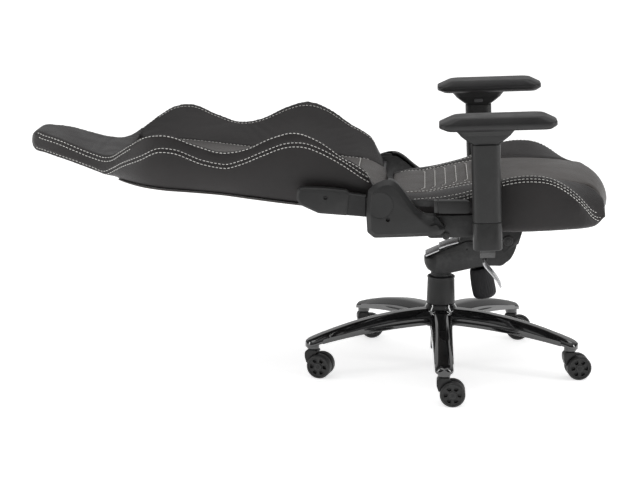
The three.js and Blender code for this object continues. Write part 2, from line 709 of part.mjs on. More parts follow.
// The sliding sleeve with its flared neck; a recess in the neck's inner face holds the height button.
function makeUpperSleeve(name, side) {
  const halfLong = { [POST_SEAM + GAP]: 33, [POST_TOP]: 33, 147: 45, [NECK_TOP]: 57 };
  const stations = [POST_SEAM + GAP, POST_TOP, 147, NECK_TOP];
  const body = loft(stations, (z) => postSection(halfLong[z]), (x, y, z) => [x, y, z]);
  const recess = block([-11.4, 11.4], span(-side, 14, 24), [145.6, 154.4]);
  const bore = rod(8 + FIT, [0, 0, 138], [0, 0, NECK_TOP + 1], 16);
  armPiece(name, side, cut(body, armCore(FIT), recess, bore), PLASTIC);
}

function makeArmTop(tag, side) {
  const button = block([-11, 11], span(-side, 18, 24.5), [146, 154]);
  armPiece(`arm_button_${tag}`, side, button, PLASTIC);
  const disc = rod(26, [0, 0, NECK_TOP + GAP], [0, 0, 165], 24);
  const spindle = rod(8, [0, 0, 140], [0, 0, 163], 16);
  armPiece(`arm_turntable_${tag}`, side, join(disc, spindle), SATIN_STEEL);
  const [low, high] = [165 + GAP, PAD_BOTTOM - GAP];
  const outline = (z) => {
    const half = z === low ? 57 : 66;
    return roundRect([-half, half], [-34, 34], 14);
  };
  const carriage = loft([low, high], outline, (x, y, z) => [x, y, z]);
  armPiece(`arm_carriage_${tag}`, side, carriage, PLASTIC);
}

// The pad is longer than wide, with long slopes at both ends, and sits ahead of the post.
function makeArmPad(name, side) {
  const sections = {
    [PAD_BOTTOM]: [-90, 151, 40, 22],
    181: [-105, 162, 47.5, 28],
    190: [-104, 161, 47.5, 28],
    [PAD_TOP]: [-72, 134, 41, 24],
  };
  const outline = (z) => {
    const [rear, front, half, corner] = sections[z];
    return roundRect([rear, front], [-half, half], corner);
  };
  const body = loft([PAD_BOTTOM, 181, 190, PAD_TOP], outline, (x, y, z) => [x, y, z]);
  armPiece(name, side, body, PAD_SKIN);
}

// ---------------------------------------------------------------- assembly

makeStarBase();
makeCasters();
makeColumn();
makeHousing();
makeTensionKnob();
makeTensionSpring();
makeLever("height_lever", -1, [103, 300], [[112, 291], [140, 253]], BARE_STEEL);
makeLever("tilt_lock_lever", 1, [60, 292], [[50, 292], [16, 280]], BARE_STEEL);
makeSeatFrame();
makeSeatCushion();
makeRecline();
makeBackFrame();
makeBackCushion();
makeBackPanel();
makeHeadrest();
for (const [tag, side] of Object.entries(SIDES)) {
  makeSeatBolster(`seat_bolster_${tag}`, side);
  makeHingeBracket(`hinge_bracket_${tag}`, side);
  makeHingeCover(`hinge_cover_${tag}`, side);
  makeBackWing(`back_wing_${tag}`, side);
  makeArmCover(`hinge_arm_cover_${tag}`, side);
  makeArmBracket(`arm_bracket_${tag}`, side);
  makeLowerSleeve(`arm_lower_sleeve_${tag}`, side);
  makeUpperSleeve(`arm_upper_sleeve_${tag}`, side);
  makeArmTop(tag, side);
  makeArmPad(`arm_pad_${tag}`, side);
}

export default chair;
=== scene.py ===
"""A gaming chair with its back laid flat: the looks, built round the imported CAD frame.

Local shapes are drawn in millimetres, in one of three frames, and come out in metres in the row frame:
STAND  X forward, Z up, from the floor under the lift column
SEAT   X forward along the seat, Z out of it, from the recline axis
BACK   X out of the back's front, Z up along the back, from the recline axis
"""

import json
import math

import bmesh
import bpy
import numpy as np
from mathutils import Matrix, Vector
from mathutils.bvhtree import BVHTree
from mathutils.kdtree import KDTree


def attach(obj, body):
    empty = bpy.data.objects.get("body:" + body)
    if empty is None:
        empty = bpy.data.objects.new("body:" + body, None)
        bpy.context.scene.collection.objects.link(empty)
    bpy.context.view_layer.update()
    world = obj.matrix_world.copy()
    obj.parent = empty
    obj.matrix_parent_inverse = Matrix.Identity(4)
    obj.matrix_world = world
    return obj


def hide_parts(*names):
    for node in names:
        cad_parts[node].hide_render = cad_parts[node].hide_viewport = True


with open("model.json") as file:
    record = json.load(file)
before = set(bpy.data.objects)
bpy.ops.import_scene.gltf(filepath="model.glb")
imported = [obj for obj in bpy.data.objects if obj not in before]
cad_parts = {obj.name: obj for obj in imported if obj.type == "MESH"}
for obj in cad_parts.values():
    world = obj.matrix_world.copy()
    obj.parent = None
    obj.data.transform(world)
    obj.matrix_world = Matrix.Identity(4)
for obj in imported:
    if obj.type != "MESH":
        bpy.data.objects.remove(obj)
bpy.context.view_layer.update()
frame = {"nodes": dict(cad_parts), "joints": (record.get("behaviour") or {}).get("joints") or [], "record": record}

# -------- frames and driving sizes

MM = 0.001
SIDES = {"left": 1, "right": -1}
JOINTS = {joint["name"]: joint for joint in frame["joints"]}
RECLINE_AXIS = Vector(JOINTS["recline"]["pos_m"])
COLUMN = Vector(JOINTS["swivel"]["pos_m"])
SEAT_TILT = 2.2
BACK_LEAN = 84.34


def local_frame(origin, lean=0.0):
    return Matrix.Translation(origin) @ Matrix.Rotation(math.radians(-lean), 4, "Y") @ Matrix.Scale(MM, 4)


STAND = local_frame((COLUMN.x, 0, 0))
SEAT = local_frame(RECLINE_AXIS, SEAT_TILT)
BACK = local_frame(RECLINE_AXIS, BACK_LEAN)

CENTRE_HALF = 150
CENTRE_EDGE = CENTRE_HALF - 0.2  # the middles and the bolsters beside them leave a hairline gap
BOLSTER_EDGE = CENTRE_HALF + 0.2
SEAT_FRONT = 526
SEAT_BOTTOM = -83
BACK_REAR = -34.7
BACK_LOW = -13
BACK_TOP = 628
HEAD_TOP = 863
BACK_END_SLOPE = 0.66  # the back's lower end is cut at a slant
CENTRE_END_SLOPE = 0.3  # less so in the middle

# -------- curves


def through(points):
    """A smooth curve through points, as a function of their first coordinate."""
    xs, ys = np.array(points, float).T
    slopes = np.gradient(ys, xs)

    def at(x):
        x = np.clip(x, xs[0], xs[-1])
        i = np.clip(np.searchsorted(xs, x) - 1, 0, len(xs) - 2)
        h = xs[i + 1] - xs[i]
        t = (x - xs[i]) / h
        rise = t * t * (3 - 2 * t)
        lean = h * (t * (1 - t) ** 2 * slopes[i] - t * t * (1 - t) * slopes[i + 1])
        return ys[i] + rise * (ys[i + 1] - ys[i]) + lean

    return at


def fade(x, start, end):
    """0 before start, 1 after end, smooth between; start may be the larger."""
    t = np.clip((x - start) / (end - start), 0, 1)
    return t * t * (3 - 2 * t)


def rounded(points, radii, steps=6):
    """A closed outline with its corners rounded; radii is one number, or one for each corner."""
    corners = [Vector(p) for p in points]
    radii = [radii] * len(corners) if np.isscalar(radii) else radii
    outline = []
    for i, corner in enumerate(corners):
        before, after = corners[i - 1] - corner, corners[(i + 1) % len(corners)] - corner
        reach = min(radii[i], 0.48 * before.length, 0.48 * after.length)
        start, end = corner + before.normalized() * reach, corner + after.normalized() * reach
        for k in range(steps + 1):
            t = k / steps
            outline.append((1 - t) ** 2 * start + 2 * t * (1 - t) * corner + t * t * end)
    return [tuple(p) for p in outline]


def stations(low, high, step):
    """Evenly spaced values from low to high, about a step apart."""
    return np.linspace(low, high, int(round((high - low) / step)) + 1)


def circle(radius, centre=(0, 0), count=40):
    turns = np.linspace(0, 2 * math.pi, count, endpoint=False)
    return [(centre[0] + radius * math.cos(a), centre[1] + radius * math.sin(a)) for a in turns]


# -------- meshes


def new_object(name, data):
    made = bpy.data.objects.new(name, data)
    bpy.context.scene.collection.objects.link(made)
    return made


def moved_by(place, points):
    """An array of points through a matrix."""
    return np.array(points, float) @ np.array(place.to_3x3()).T + np.array(place.translation)


def make_mesh(name, points, faces, place):
    """An object from local points, with its mesh in row coordinates and its object at the origin."""
    mesh = bpy.data.meshes.new(name)
    mesh.from_pydata(moved_by(place, points).tolist(), [], faces)
    mesh.validate()
    return new_object(name, mesh)


def ring_faces(rings, count, closed=True):
    """Quads between rings of count points each; closed joins each ring's end to its start."""
    last = count if closed else count - 1
    return [
        (i * count + j, i * count + (j + 1) % count, (i + 1) * count + (j + 1) % count, (i + 1) * count + j)
        for i in range(rings - 1)
        for j in range(last)
    ]


def loft(name, rings, place):
    """A closed body through rings of equal length, closed at both ends."""
    count = len(rings[0])
    points = [p for ring in rings for p in ring]
    faces = ring_faces(len(rings), count)
    faces.append(tuple(reversed(range(count))))
    faces.append(tuple(range(len(points) - count, len(points))))
    made = make_mesh(name, points, faces, place)
    tidy(made)
    return made


def tidy(made, merge=1e-6):
    """Merges doubled points and turns every face outwards."""
    work = bmesh.new()
    work.from_mesh(made.data)
    bmesh.ops.remove_doubles(work, verts=work.verts, dist=merge)
    bmesh.ops.recalc_face_normals(work, faces=work.faces)
    work.to_mesh(made.data)
    work.free()


def prism(name, outline, span, place, bevel=1.0, axis="Y"):
    """A plate between two faces across Y or Z, with softened edges."""
    rings = [[(a, c, b) if axis == "Y" else (a, b, c) for a, b in outline] for c in span]
    made = loft(name, rings, place)
    if bevel:
        soften_edges(made, bevel)
    return made


def revolve(name, profile, place, count=64):
    """A turned body about local Z from (radius, height) points that start and end on the axis, or close."""
    closed = profile[0][0] > 0
    points = [(r * x, r * y, z) for x, y in circle(1, count=count) for r, z in profile]
    faces = ring_faces(count + 1, len(profile), closed)
    faces = [tuple(v % len(points) for v in face) for face in faces]
    made = make_mesh(name, points, faces, place)
    tidy(made)
    return made


def tube(name, path, radius, place, count=12):
    """A round bar of even radius along a path, closed at both ends."""
    path = [Vector(p) for p in path]
    rings = []
    across = None
    for i, point in enumerate(path):
        along = (path[min(i + 1, len(path) - 1)] - path[max(i - 1, 0)]).normalized()
        if across is None:
            across = along.orthogonal().normalized()
        across = (across - along * across.dot(along)).normalized()
        up = along.cross(across)
        rings.append([tuple(point + x * across + y * up) for x, y in circle(radius, count=count)])
    return loft(name, rings, place)


def soften_edges(made, width, angle=28, segments=3):
    bevel = made.modifiers.new("edges", "BEVEL")
    bevel.width = width * MM
    bevel.segments = segments
    bevel.limit_method = "ANGLE"
    bevel.angle_limit = math.radians(angle)
    return made


def apply_modifiers(made):
    """Replaces the object's mesh by the one that its modifiers make."""
    shape = made.evaluated_get(bpy.context.evaluated_depsgraph_get())
    mesh = bpy.data.meshes.new_from_object(shape)
    made.modifiers.clear()
    made.data = mesh
    return made


def shade(made, angle):
    """Smooth shading, with edges sharper than an angle in degrees kept."""
    made.data.shade_smooth()
    made.data.set_sharp_from_angle(angle=math.radians(angle))


def paint(made, material):
    made.data.materials.clear()
    made.data.materials.append(material)
    return made


def joined(name, *parts):
    """One object from several, with their modifiers applied and their materials kept."""
    for part in parts:
        apply_modifiers(part)
    whole = parts[0]
    with bpy.context.temp_override(
        active_object=whole, object=whole, selected_objects=list(parts), selected_editable_objects=list(parts)
    ):
        bpy.ops.object.join()
    whole.name = name
    whole.data.name = name
    return whole


def finish_piece(made, body, nodes=(), angle=40):
    """Shades a piece, ties it to its body and hides the CAD nodes that it stands for."""
    shade(made, angle)
    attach(made, body)
    if nodes:
        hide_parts(*nodes)


def points_of(mesh):
    co = np.empty(len(mesh.vertices) * 3)
    mesh.vertices.foreach_get("co", co)
    return co.reshape(-1, 3)


def set_points(mesh, co):
    mesh.vertices.foreach_set("co", np.ascontiguousarray(co, dtype=np.float32).ravel())
    mesh.update()


def normals_of(mesh):
    normals = np.empty(len(mesh.vertices) * 3)
    mesh.vertex_normals.foreach_get("vector", normals)
    return normals.reshape(-1, 3)


# -------- materials


def add_node(tree, kind, inputs=None, **settings):
    """A shader node; each input is a value, or another node's output to link."""
    made = tree.nodes.new("ShaderNode" + kind)
    for key, value in settings.items():
        setattr(made, key, value)
    for key, value in (inputs or {}).items():
        if isinstance(value, bpy.types.NodeSocket):
            tree.links.new(value, made.inputs[key])
        else:
            made.inputs[key].default_value = value
    return made


def new_material(name, **sockets):
    """A Principled material with the given constants on the shader's own sockets."""
    material = bpy.data.materials.new(name)
    material.use_nodes = True
    tree = material.node_tree
    for key, value in sockets.items():
        tree.nodes["Principled BSDF"].inputs[key.replace("_", " ")].default_value = value
    place = add_node(tree, "TexCoord").outputs["Object"]
    return material, tree, place


def link_shader(tree, **sockets):
    for key, value in sockets.items():
        tree.links.new(value, tree.nodes["Principled BSDF"].inputs[key.replace("_", " ")])


def noise(tree, place, scale, detail=3.0, roughness=0.5):
    inputs = {"Vector": place, "Scale": scale, "Detail": detail, "Roughness": roughness}
    return add_node(tree, "TexNoise", inputs).outputs["Fac"]


def ramp(tree, value, low, high, start=0.35, end=0.65):
    """Turns a grey value into a mix of two colours, or of two numbers given as grey."""
    made = add_node(tree, "ValToRGB", {"Fac": value})
    for element, place, colour in zip(made.color_ramp.elements, (start, end), (low, high)):
        element.position = place
        element.color = (*colour, 1) if hasattr(colour, "__len__") else (colour, colour, colour, 1)
    return made.outputs["Color"]


def bump(tree, height, strength, distance, under=None):
    inputs = {"Height": height, "Strength": strength, "Distance": distance}
    if under is not None:
        inputs["Normal"] = under
    return add_node(tree, "Bump", inputs).outputs["Normal"]


def scaled(colour, factor):
    return tuple(min(1, c * factor) for c in colour)


# A Mix node has sockets of one name for each kind of data; these are the places of the colour ones.
MIX_COLOUR_A, MIX_COLOUR_B, MIX_COLOUR_OUT = 6, 7, 2


def worn_colour(tree, colour, place, wear, scale):
    """The colour with soft blotches, and the wear colour in patches where an edge has been rubbed."""
    blotches = noise(tree, place, scale, 5.0, 0.6)
    body = ramp(tree, blotches, scaled(colour, 0.82), scaled(colour, 1.2))
    edges = add_node(tree, "NewGeometry").outputs["Pointiness"]
    rubbed = ramp(tree, edges, 0.0, 1.0, 0.505, 0.56)
    patch = noise(tree, place, 60.0, 4.0, 0.7)
    amount = add_node(tree, "Math", {0: rubbed, 1: patch}, operation="MULTIPLY").outputs[0]
    mix = add_node(
        tree, "Mix", {"Factor": amount, MIX_COLOUR_A: body, MIX_COLOUR_B: (*wear, 1)}, data_type="RGBA"
    )
    return mix.outputs[MIX_COLOUR_OUT]


def leatherette(name, colour, roughness):
    """Embossed synthetic leather: fine broken grain with pores, soft blotches and faint creases."""
    material, tree, place = new_material(
        name, IOR=1.46, Specular_IOR_Level=0.3, Sheen_Weight=0.04, Sheen_Roughness=0.4
    )
    warp = noise(tree, place, 260.0, 2.0)
    warped = add_node(tree, "VectorMath", {0: place, 1: warp}, operation="ADD").outputs[0]
    cells = add_node(tree, "TexVoronoi", {"Vector": warped, "Scale": 620.0}, feature="F1")
    grain = ramp(tree, cells.outputs["Distance"], 1.0, 0.0, 0.05, 0.75)
    pores = noise(tree, place, 1900.0, 3.0, 0.65)
    creases = noise(tree, place, 38.0, 6.0, 0.62)
    normal = bump(tree, grain, 0.28, 0.0004)
    normal = bump(tree, pores, 0.12, 0.0002, normal)
    link_shader(
        tree,
        Normal=bump(tree, creases, 0.10, 0.0015, normal),
        Base_Color=worn_colour(tree, colour, place, scaled(colour, 1.6), 7.0),
        Roughness=ramp(tree, noise(tree, place, 14.0, 5.0), roughness - 0.06, roughness + 0.07),
    )
    return material


def moulded(name, colour, roughness, grain=0.16, wear=1.9):
    """Injection-moulded plastic with a spark-eroded texture and rubbed edges."""
    material, tree, place = new_material(name, IOR=1.48, Specular_IOR_Level=0.36)
    spark = noise(tree, place, 1500.0, 4.0, 0.7)
    flow = noise(tree, place, 30.0, 4.0, 0.55)
    link_shader(
        tree,
        Normal=bump(tree, flow, 0.04, 0.0012, bump(tree, spark, grain, 0.00025)),
        Base_Color=worn_colour(tree, colour, place, scaled(colour, wear), 12.0),
        Roughness=ramp(tree, flow, roughness - 0.05, roughness + 0.06),
    )
    return material


def gloss_paint(name, colour):
    """Thick gloss powder coat: faint orange peel, dust that dulls it in places."""
    material, tree, place = new_material(
        name, IOR=1.45, Specular_IOR_Level=0.5, Coat_Weight=1.0, Coat_Roughness=0.03, Coat_IOR=1.6
    )
    link_shader(
        tree,
        Normal=bump(tree, noise(tree, place, 210.0, 2.0), 0.05, 0.0005),
        Base_Color=worn_colour(tree, colour, place, scaled(colour, 3.0), 18.0),
        Roughness=ramp(tree, noise(tree, place, 24.0, 8.0, 0.7), 0.10, 0.24, 0.4, 0.7),
    )
    return material


def coated_steel(name, colour, roughness):
    """Satin powder-coated steel with a slightly lumpy skin."""
    material, tree, place = new_material(name, IOR=1.5, Specular_IOR_Level=0.32, Metallic=0.1)
    link_shader(
        tree,
        Normal=bump(tree, noise(tree, place, 900.0, 3.0, 0.6), 0.22, 0.0003),
        Base_Color=worn_colour(tree, colour, place, (0.12, 0.12, 0.12), 20.0),
        Roughness=ramp(tree, noise(tree, place, 40.0, 5.0), roughness - 0.07, roughness + 0.08),
    )
    return material


def brushed_steel(name, colour, roughness):
    """Bare steel with fine brush marks, thirty times closer along Y than across."""
    material, tree, place = new_material(name, Metallic=1.0, Anisotropic=0.4)
    drawn = add_node(tree, "VectorMath", {0: place, 1: (1.0, 30.0, 1.0)}, operation="MULTIPLY").outputs[0]
    lines = noise(tree, drawn, 260.0, 6.0, 0.7)
    link_shader(
        tree,
        Normal=bump(tree, lines, 0.12, 0.0002),
        Base_Color=ramp(tree, lines, scaled(colour, 0.75), scaled(colour, 1.15)),
        Roughness=ramp(tree, lines, roughness - 0.08, roughness + 0.12),
    )
    return material


def thread(name, colour):
    """Bonded polyester thread: twisted strands with a slight sheen."""
    material, tree, place = new_material(name, Sheen_Weight=0.3, Specular_IOR_Level=0.35)
    wave = {"Vector": place, "Scale": 700.0, "Distortion": 1.5}
    twist = add_node(tree, "TexWave", wave, bands_direction="DIAGONAL").outputs["Fac"]
    link_shader(
        tree,
        Normal=bump(tree, twist, 0.5, 0.0002),
        Base_Color=ramp(tree, twist, scaled(colour, 0.72), colour, 0.1, 0.7),
        Roughness=ramp(tree, noise(tree, place, 90.0), 0.5, 0.68),
    )
    return material


LEATHER = leatherette("leatherette_centre", (0.064, 0.0585, 0.0555), 0.42)
LEATHER_SIDE = leatherette("leatherette_side", (0.0215, 0.0195, 0.0195), 0.45)
PLASTIC = moulded("matte_plastic", (0.0165, 0.0165, 0.0165), 0.46)
BUTTON = moulded("button_plastic", (0.060, 0.060, 0.062), 0.40)
PAD_SKIN = moulded("soft_pad", (0.018, 0.0175, 0.018), 0.40, 0.22, 1.4)
RUBBER = moulded("knob_rubber", (0.010, 0.0095, 0.011), 0.58, 0.3, 1.5)
CASTER = moulded("caster_plastic", (0.013, 0.013, 0.013), 0.42, 0.1)
TREAD = moulded("caster_tread", (0.020, 0.020, 0.020), 0.40, 0.1)
GLOSS = gloss_paint("gloss_black", (0.0035, 0.0035, 0.004))
STEEL = coated_steel("black_steel", (0.007, 0.007, 0.007), 0.42)
HOUSING = coated_steel("housing_metal", (0.0075, 0.0075, 0.0075), 0.42)
BRIGHT = brushed_steel("bright_steel", (0.50, 0.50, 0.51), 0.30)
THREAD = thread("thread", (0.80, 0.79, 0.76))
SLOT_MATERIALS = {
    "leatherette": LEATHER,
    "side_leatherette": LEATHER_SIDE,
    "matte_plastic": PLASTIC,
    "button_plastic": BUTTON,
    "soft_pad": PAD_SKIN,
    "gloss_black": GLOSS,
    "black_steel": STEEL,
    "housing_metal": HOUSING,
    "bright_steel": BRIGHT,
    "knob_rubber": RUBBER,
    "caster_plastic": CASTER,
    "caster_tread": TREAD,
}


def dress_cad_nodes():
    """Gives each CAD node its slot's material, soft edges and smooth shading."""
    for row in frame["record"]["subparts"]:
        made = frame["nodes"][row["node"]]
        paint(made, SLOT_MATERIALS[row["material_slot"]])
        shade(made, 30)
        soften_edges(made, 0.6, 30, 2)
    paint(frame["nodes"]["recliner_shaft"], STEEL)


# -------- camera, floor and lights


def make_camera():
    data = bpy.data.cameras.new("camera")
    data.sensor_width = 36
    data.lens = 105.34
    camera = new_object("camera", data)
    camera.location = (0.2515, -4.5278, 1.3197)
    camera.rotation_euler = (math.radians(77.54), 0, math.radians(3.19))
    bpy.context.scene.camera = camera


FLOOR_REACH = 200
FLOOR_GLOW = 0.65  # keeps the floor white behind a dark chair


def make_floor():
    corners = [(x * FLOOR_REACH, y * FLOOR_REACH, 0) for x, y in ((-1, -1), (1, -1), (1, 1), (-1, 1))]
    floor = make_mesh("floor", corners, [(0, 1, 2, 3)], Matrix.Identity(4))
    glow = {"Emission_Color": (1, 1, 1, 1), "Emission_Strength": FLOOR_GLOW}
    material, tree, place = new_material("pale_floor", Roughness=0.8, Specular_IOR_Level=0.1, **glow)
    link_shader(tree, Base_Color=ramp(tree, noise(tree, place, 2.0), 0.90, 0.93))
    paint(floor, material)


def area_light(name, location, target, size, energy):
    data = bpy.data.lights.new(name, "AREA")
    data.shape = "RECTANGLE"
    data.size, data.size_y = size
    data.energy = energy
    light = new_object(name, data)
    light.location = location
    light.rotation_euler = (Vector(target) - Vector(location)).to_track_quat("-Z", "Y").to_euler()


def make_world():
    """A white studio: bright overhead and behind the chair, dim on the camera's side."""
    world = bpy.data.worlds.new("studio")
    world.use_nodes = True
    tree = world.node_tree
    way = add_node(tree, "SeparateXYZ", {0: add_node(tree, "TexCoord").outputs["Generated"]})
    over = add_node(tree, "MapRange", {"Value": way.outputs["Z"], 1: 0.25, 2: 0.95, 3: 0.0, 4: 0.65})
    behind = add_node(tree, "MapRange", {"Value": way.outputs["Y"], 1: -0.05, 2: 0.7, 3: 0.06, 4: 0.42})
    total = add_node(tree, "Math", {0: over.outputs[0], 1: behind.outputs[0]}, operation="ADD")
    background = tree.nodes["Background"]
    background.inputs["Color"].default_value = (1, 1, 1, 1)
    tree.links.new(total.outputs[0], background.inputs["Strength"])
    bpy.context.scene.world = world


def make_lights():
    make_world()
    area_light("overhead", (0.2, -0.5, 3.0), (0.1, -0.1, 0.4), (4.4, 1.3), 28)
    area_light("left_side", (-3.0, -1.2, 1.2), (0.2, 0, 0.3), (0.4, 1.9), 20)
    area_light("right_side", (3.6, -1.2, 1.2), (0.3, 0, 0.3), (0.4, 1.9), 27)
    bpy.context.scene.view_settings.view_transform = "Standard"


# -------- upholstery shapes
#
# The seat's curves run along it from the recline axis: the bolsters' crest, the half width, the middle's top.
# The back's run up it: the wings' crest, the half width, the lower edge of the band under the crest, the
# rear face and the middle's front.

SEAT_CREST = through([
    (20, -18), (88, -6), (142, 0), (220, 19), (284, 45), (340, 53), (400, 43), (461, -3), (500, -49),
    (526, -57),
])
SEAT_HALF = through([
    (20, 204), (88, 221), (142, 236), (220, 252), (300, 272), (357, 275), (426, 266), (485, 246), (526, 205),
])
SEAT_MIDDLE = through([
    (20, -8), (45, -1), (103, 2), (203, 20), (300, 27), (394, 24), (460, 16), (500, 4), (526, -22),
])
CREST = through([
    (-14, 4), (22, 52), (104, 101), (160, 132), (217, 144), (264, 127), (330, 89), (380, 76), (440, 87),
    (515, 105), (562, 94), (600, 66), (628, 42), (648, 25), (664, 19), (700, 20), (745, 29), (795, 40),
    (828, 43), (850, 43), (863, 30),
])
HALF = through([
    (-14, 244), (22, 250), (104, 256), (217, 256), (300, 248), (372, 238), (440, 245), (515, 256),
    (560, 246), (600, 218), (628, 188), (645, 165), (664, 149), (700, 129), (745, 113), (795, 97),
    (828, 80), (846, 65), (856, 50), (863, 30),
])
BAND_LOW = through([
    (-14, 0), (22, 42), (53, 59), (102, 85), (150, 105), (185, 114), (232, 109), (284, 83), (334, 55),
    (368, 42), (391, 42), (426, 47), (496, 67), (531, 64), (568, 41), (619, 10), (648, -13), (664, -23),
    (700, -20), (745, -12), (795, -4), (828, 0), (850, 2), (863, 12),
])
REAR = through([
    (-14, -34.7), (600, -34.7), (640, -34.5), (664, -33), (700, -28), (745, -20), (795, -12), (828, -8),
    (850, -6), (863, 5),
])
BACK_MIDDLE = through([
    (-14, 8), (22, 24), (100, 28), (200, 34), (330, 28), (500, 28), (600, 22), (628, 19), (664, 16),
    (700, 18), (745, 27), (795, 39), (828, 43), (850, 43), (863, 30),
])


def back_station(start, w, slope=BACK_END_SLOPE):
    """Height up the back of a point w forward, on the ring that starts at a height on its rear."""
    slant = slope * np.maximum(0, w + 14)
    return start + slant * (1 - fade(start, -13, 110))


def height_on_ring(start):
    """How high up the back the crest of a slanted ring is."""
    height = start
    for _ in range(8):
        height = back_station(start, CREST(height))
    return height


def flank(start, height):
    """The corners of one side of the back, from its crest round to its rear, with their radii."""
    crest, half, rear = CREST(height), HALF(height), REAR(start)
    low = max(rear + 7, min(BAND_LOW(height), crest - 9))
    panel = fade(low - rear, 8, 30)
    corners = [
        (crest, half - 9), (crest - 4, half - 1.5), (low, half),
        ((low + rear) / 2 - 3 * panel, half - 3 * panel - 1), (rear, half - 8 - 20 * panel),
    ]
    return corners, [6, 5, 6 + 3 * panel, 6 + 18 * panel, 5 + 9 * panel]


def wing_rings(side):
    """One wing, ring by slanted ring from the back's lower end to the headrest."""
    rings = []
    for start in stations(BACK_LOW, BACK_TOP, 9):
        height = height_on_ring(start)
        corners, radii = flank(start, height)
        crest, half = CREST(height), HALF(height)
        middle = min(BACK_MIDDLE(start), crest - 3)
        slope = ((middle + crest) / 2 - 5, (BOLSTER_EDGE + half) / 2)
        inner = [(REAR(start), BOLSTER_EDGE), (middle, BOLSTER_EDGE)]
        outline = rounded([*inner, slope, *corners], [2, 2, 45, *radii])
        rings.append([(w, side * y, back_station(start, w)) for w, y in outline])
    return rings


def tucked(y):
    """How much a middle's surface drops at its two sides, where the seams pull it in."""
    return 3 * (1 - fade(CENTRE_EDGE - abs(y), 0, 16))


def back_centre_rings():
    rings = []
    for y in stations(-CENTRE_EDGE, CENTRE_EDGE, 10):
        crown = 5 * (1 - (y / CENTRE_EDGE) ** 2)
        heights = stations(BACK_LOW, BACK_TOP, 12)
        front = [(BACK_MIDDLE(z) + crown - tucked(y), z) for z in heights]
        outline = [(w, back_station(z, w, CENTRE_END_SLOPE)) for w, z in front]
        outline += [(BACK_REAR, z) for z in reversed(heights)]
        rings.append([(w, y, z) for w, z in outline])
    return rings


def head_rings():
    """The headrest, from just inside the wings' upper ends to its crown."""
    rings = []
    for z in [*stations(BACK_TOP - 3, HEAD_TOP - 17, 6), *stations(HEAD_TOP - 14, HEAD_TOP, 2.8)]:
        corners, radii = flank(z, z)
        corners = [(BACK_MIDDLE(z), min(0.93 * CENTRE_HALF, 0.62 * HALF(z))), *corners]
        radii = [30, *radii]
        mirror = [(w, -y) for w, y in reversed(corners)]
        outline = rounded(corners + mirror, radii + radii[::-1])
        rings.append([(w, y, z + 6.5 * fade(z, 820, HEAD_TOP)) for w, y in outline])
    return rings


def seat_centre_rings():
    """The middle of the seat, its rolled front bowed forwards between the bolsters."""
    roll = [(494, 11), (513, -8), (524, -34), (SEAT_FRONT, -60)]
    rings = []
    for y in stations(-CENTRE_EDGE, CENTRE_EDGE, 10):
        share = 1 - (y / CENTRE_EDGE) ** 2
        bow = 20 * share
        top = [(x, SEAT_MIDDLE(x) + 4 * share - tucked(y)) for x in stations(20, 470, 12)]
        corners = [(32, SEAT_BOTTOM), *top, *((x + bow, z) for x, z in roll), (502 + bow, SEAT_BOTTOM)]
        radii = [8, 12, *[4] * (len(top) - 1), 12, 12, 14, 16, 14]
        rings.append([(x, y, z) for x, z in rounded(corners, radii, 3)])
    return rings


def seat_bolster_rings(side):
    """One bolster, its underside rising to meet the falling crest at the front."""
    rings = []
    for x in stations(20, SEAT_FRONT + 1, 9):
        crest, half, middle = SEAT_CREST(x), SEAT_HALF(x), SEAT_MIDDLE(x)
        low = SEAT_BOTTOM + 22 * fade(x, 496, 534)
        tall = crest - low
        corners = [
            (BOLSTER_EDGE, low), (BOLSTER_EDGE, middle),
            ((BOLSTER_EDGE + half) / 2, (middle + crest) / 2 + 3), (half - 18, crest),
            (half - 4, crest - min(6, 0.3 * tall)), (half, max(min(crest - 22, -30), low + 0.3 * tall)),
            (half - 2, low + min(8, 0.15 * tall)), (half - 14, low),
        ]
        outline = rounded(corners, [2, 2, 40, 12, 8, 24, 10, 10])
        rings.append([(x, side * y, z) for y, z in outline])
    return rings


# -------- soft pieces

VOXEL = 0.0052
SHRINK = 0.0015  # a soft piece starts this much smaller, and swells back
SWELL_FRAMES = 20
GROOVE_DEPTH = 0.0022
GROOVE_REACH = 0.006
PUCKER = 0.00035


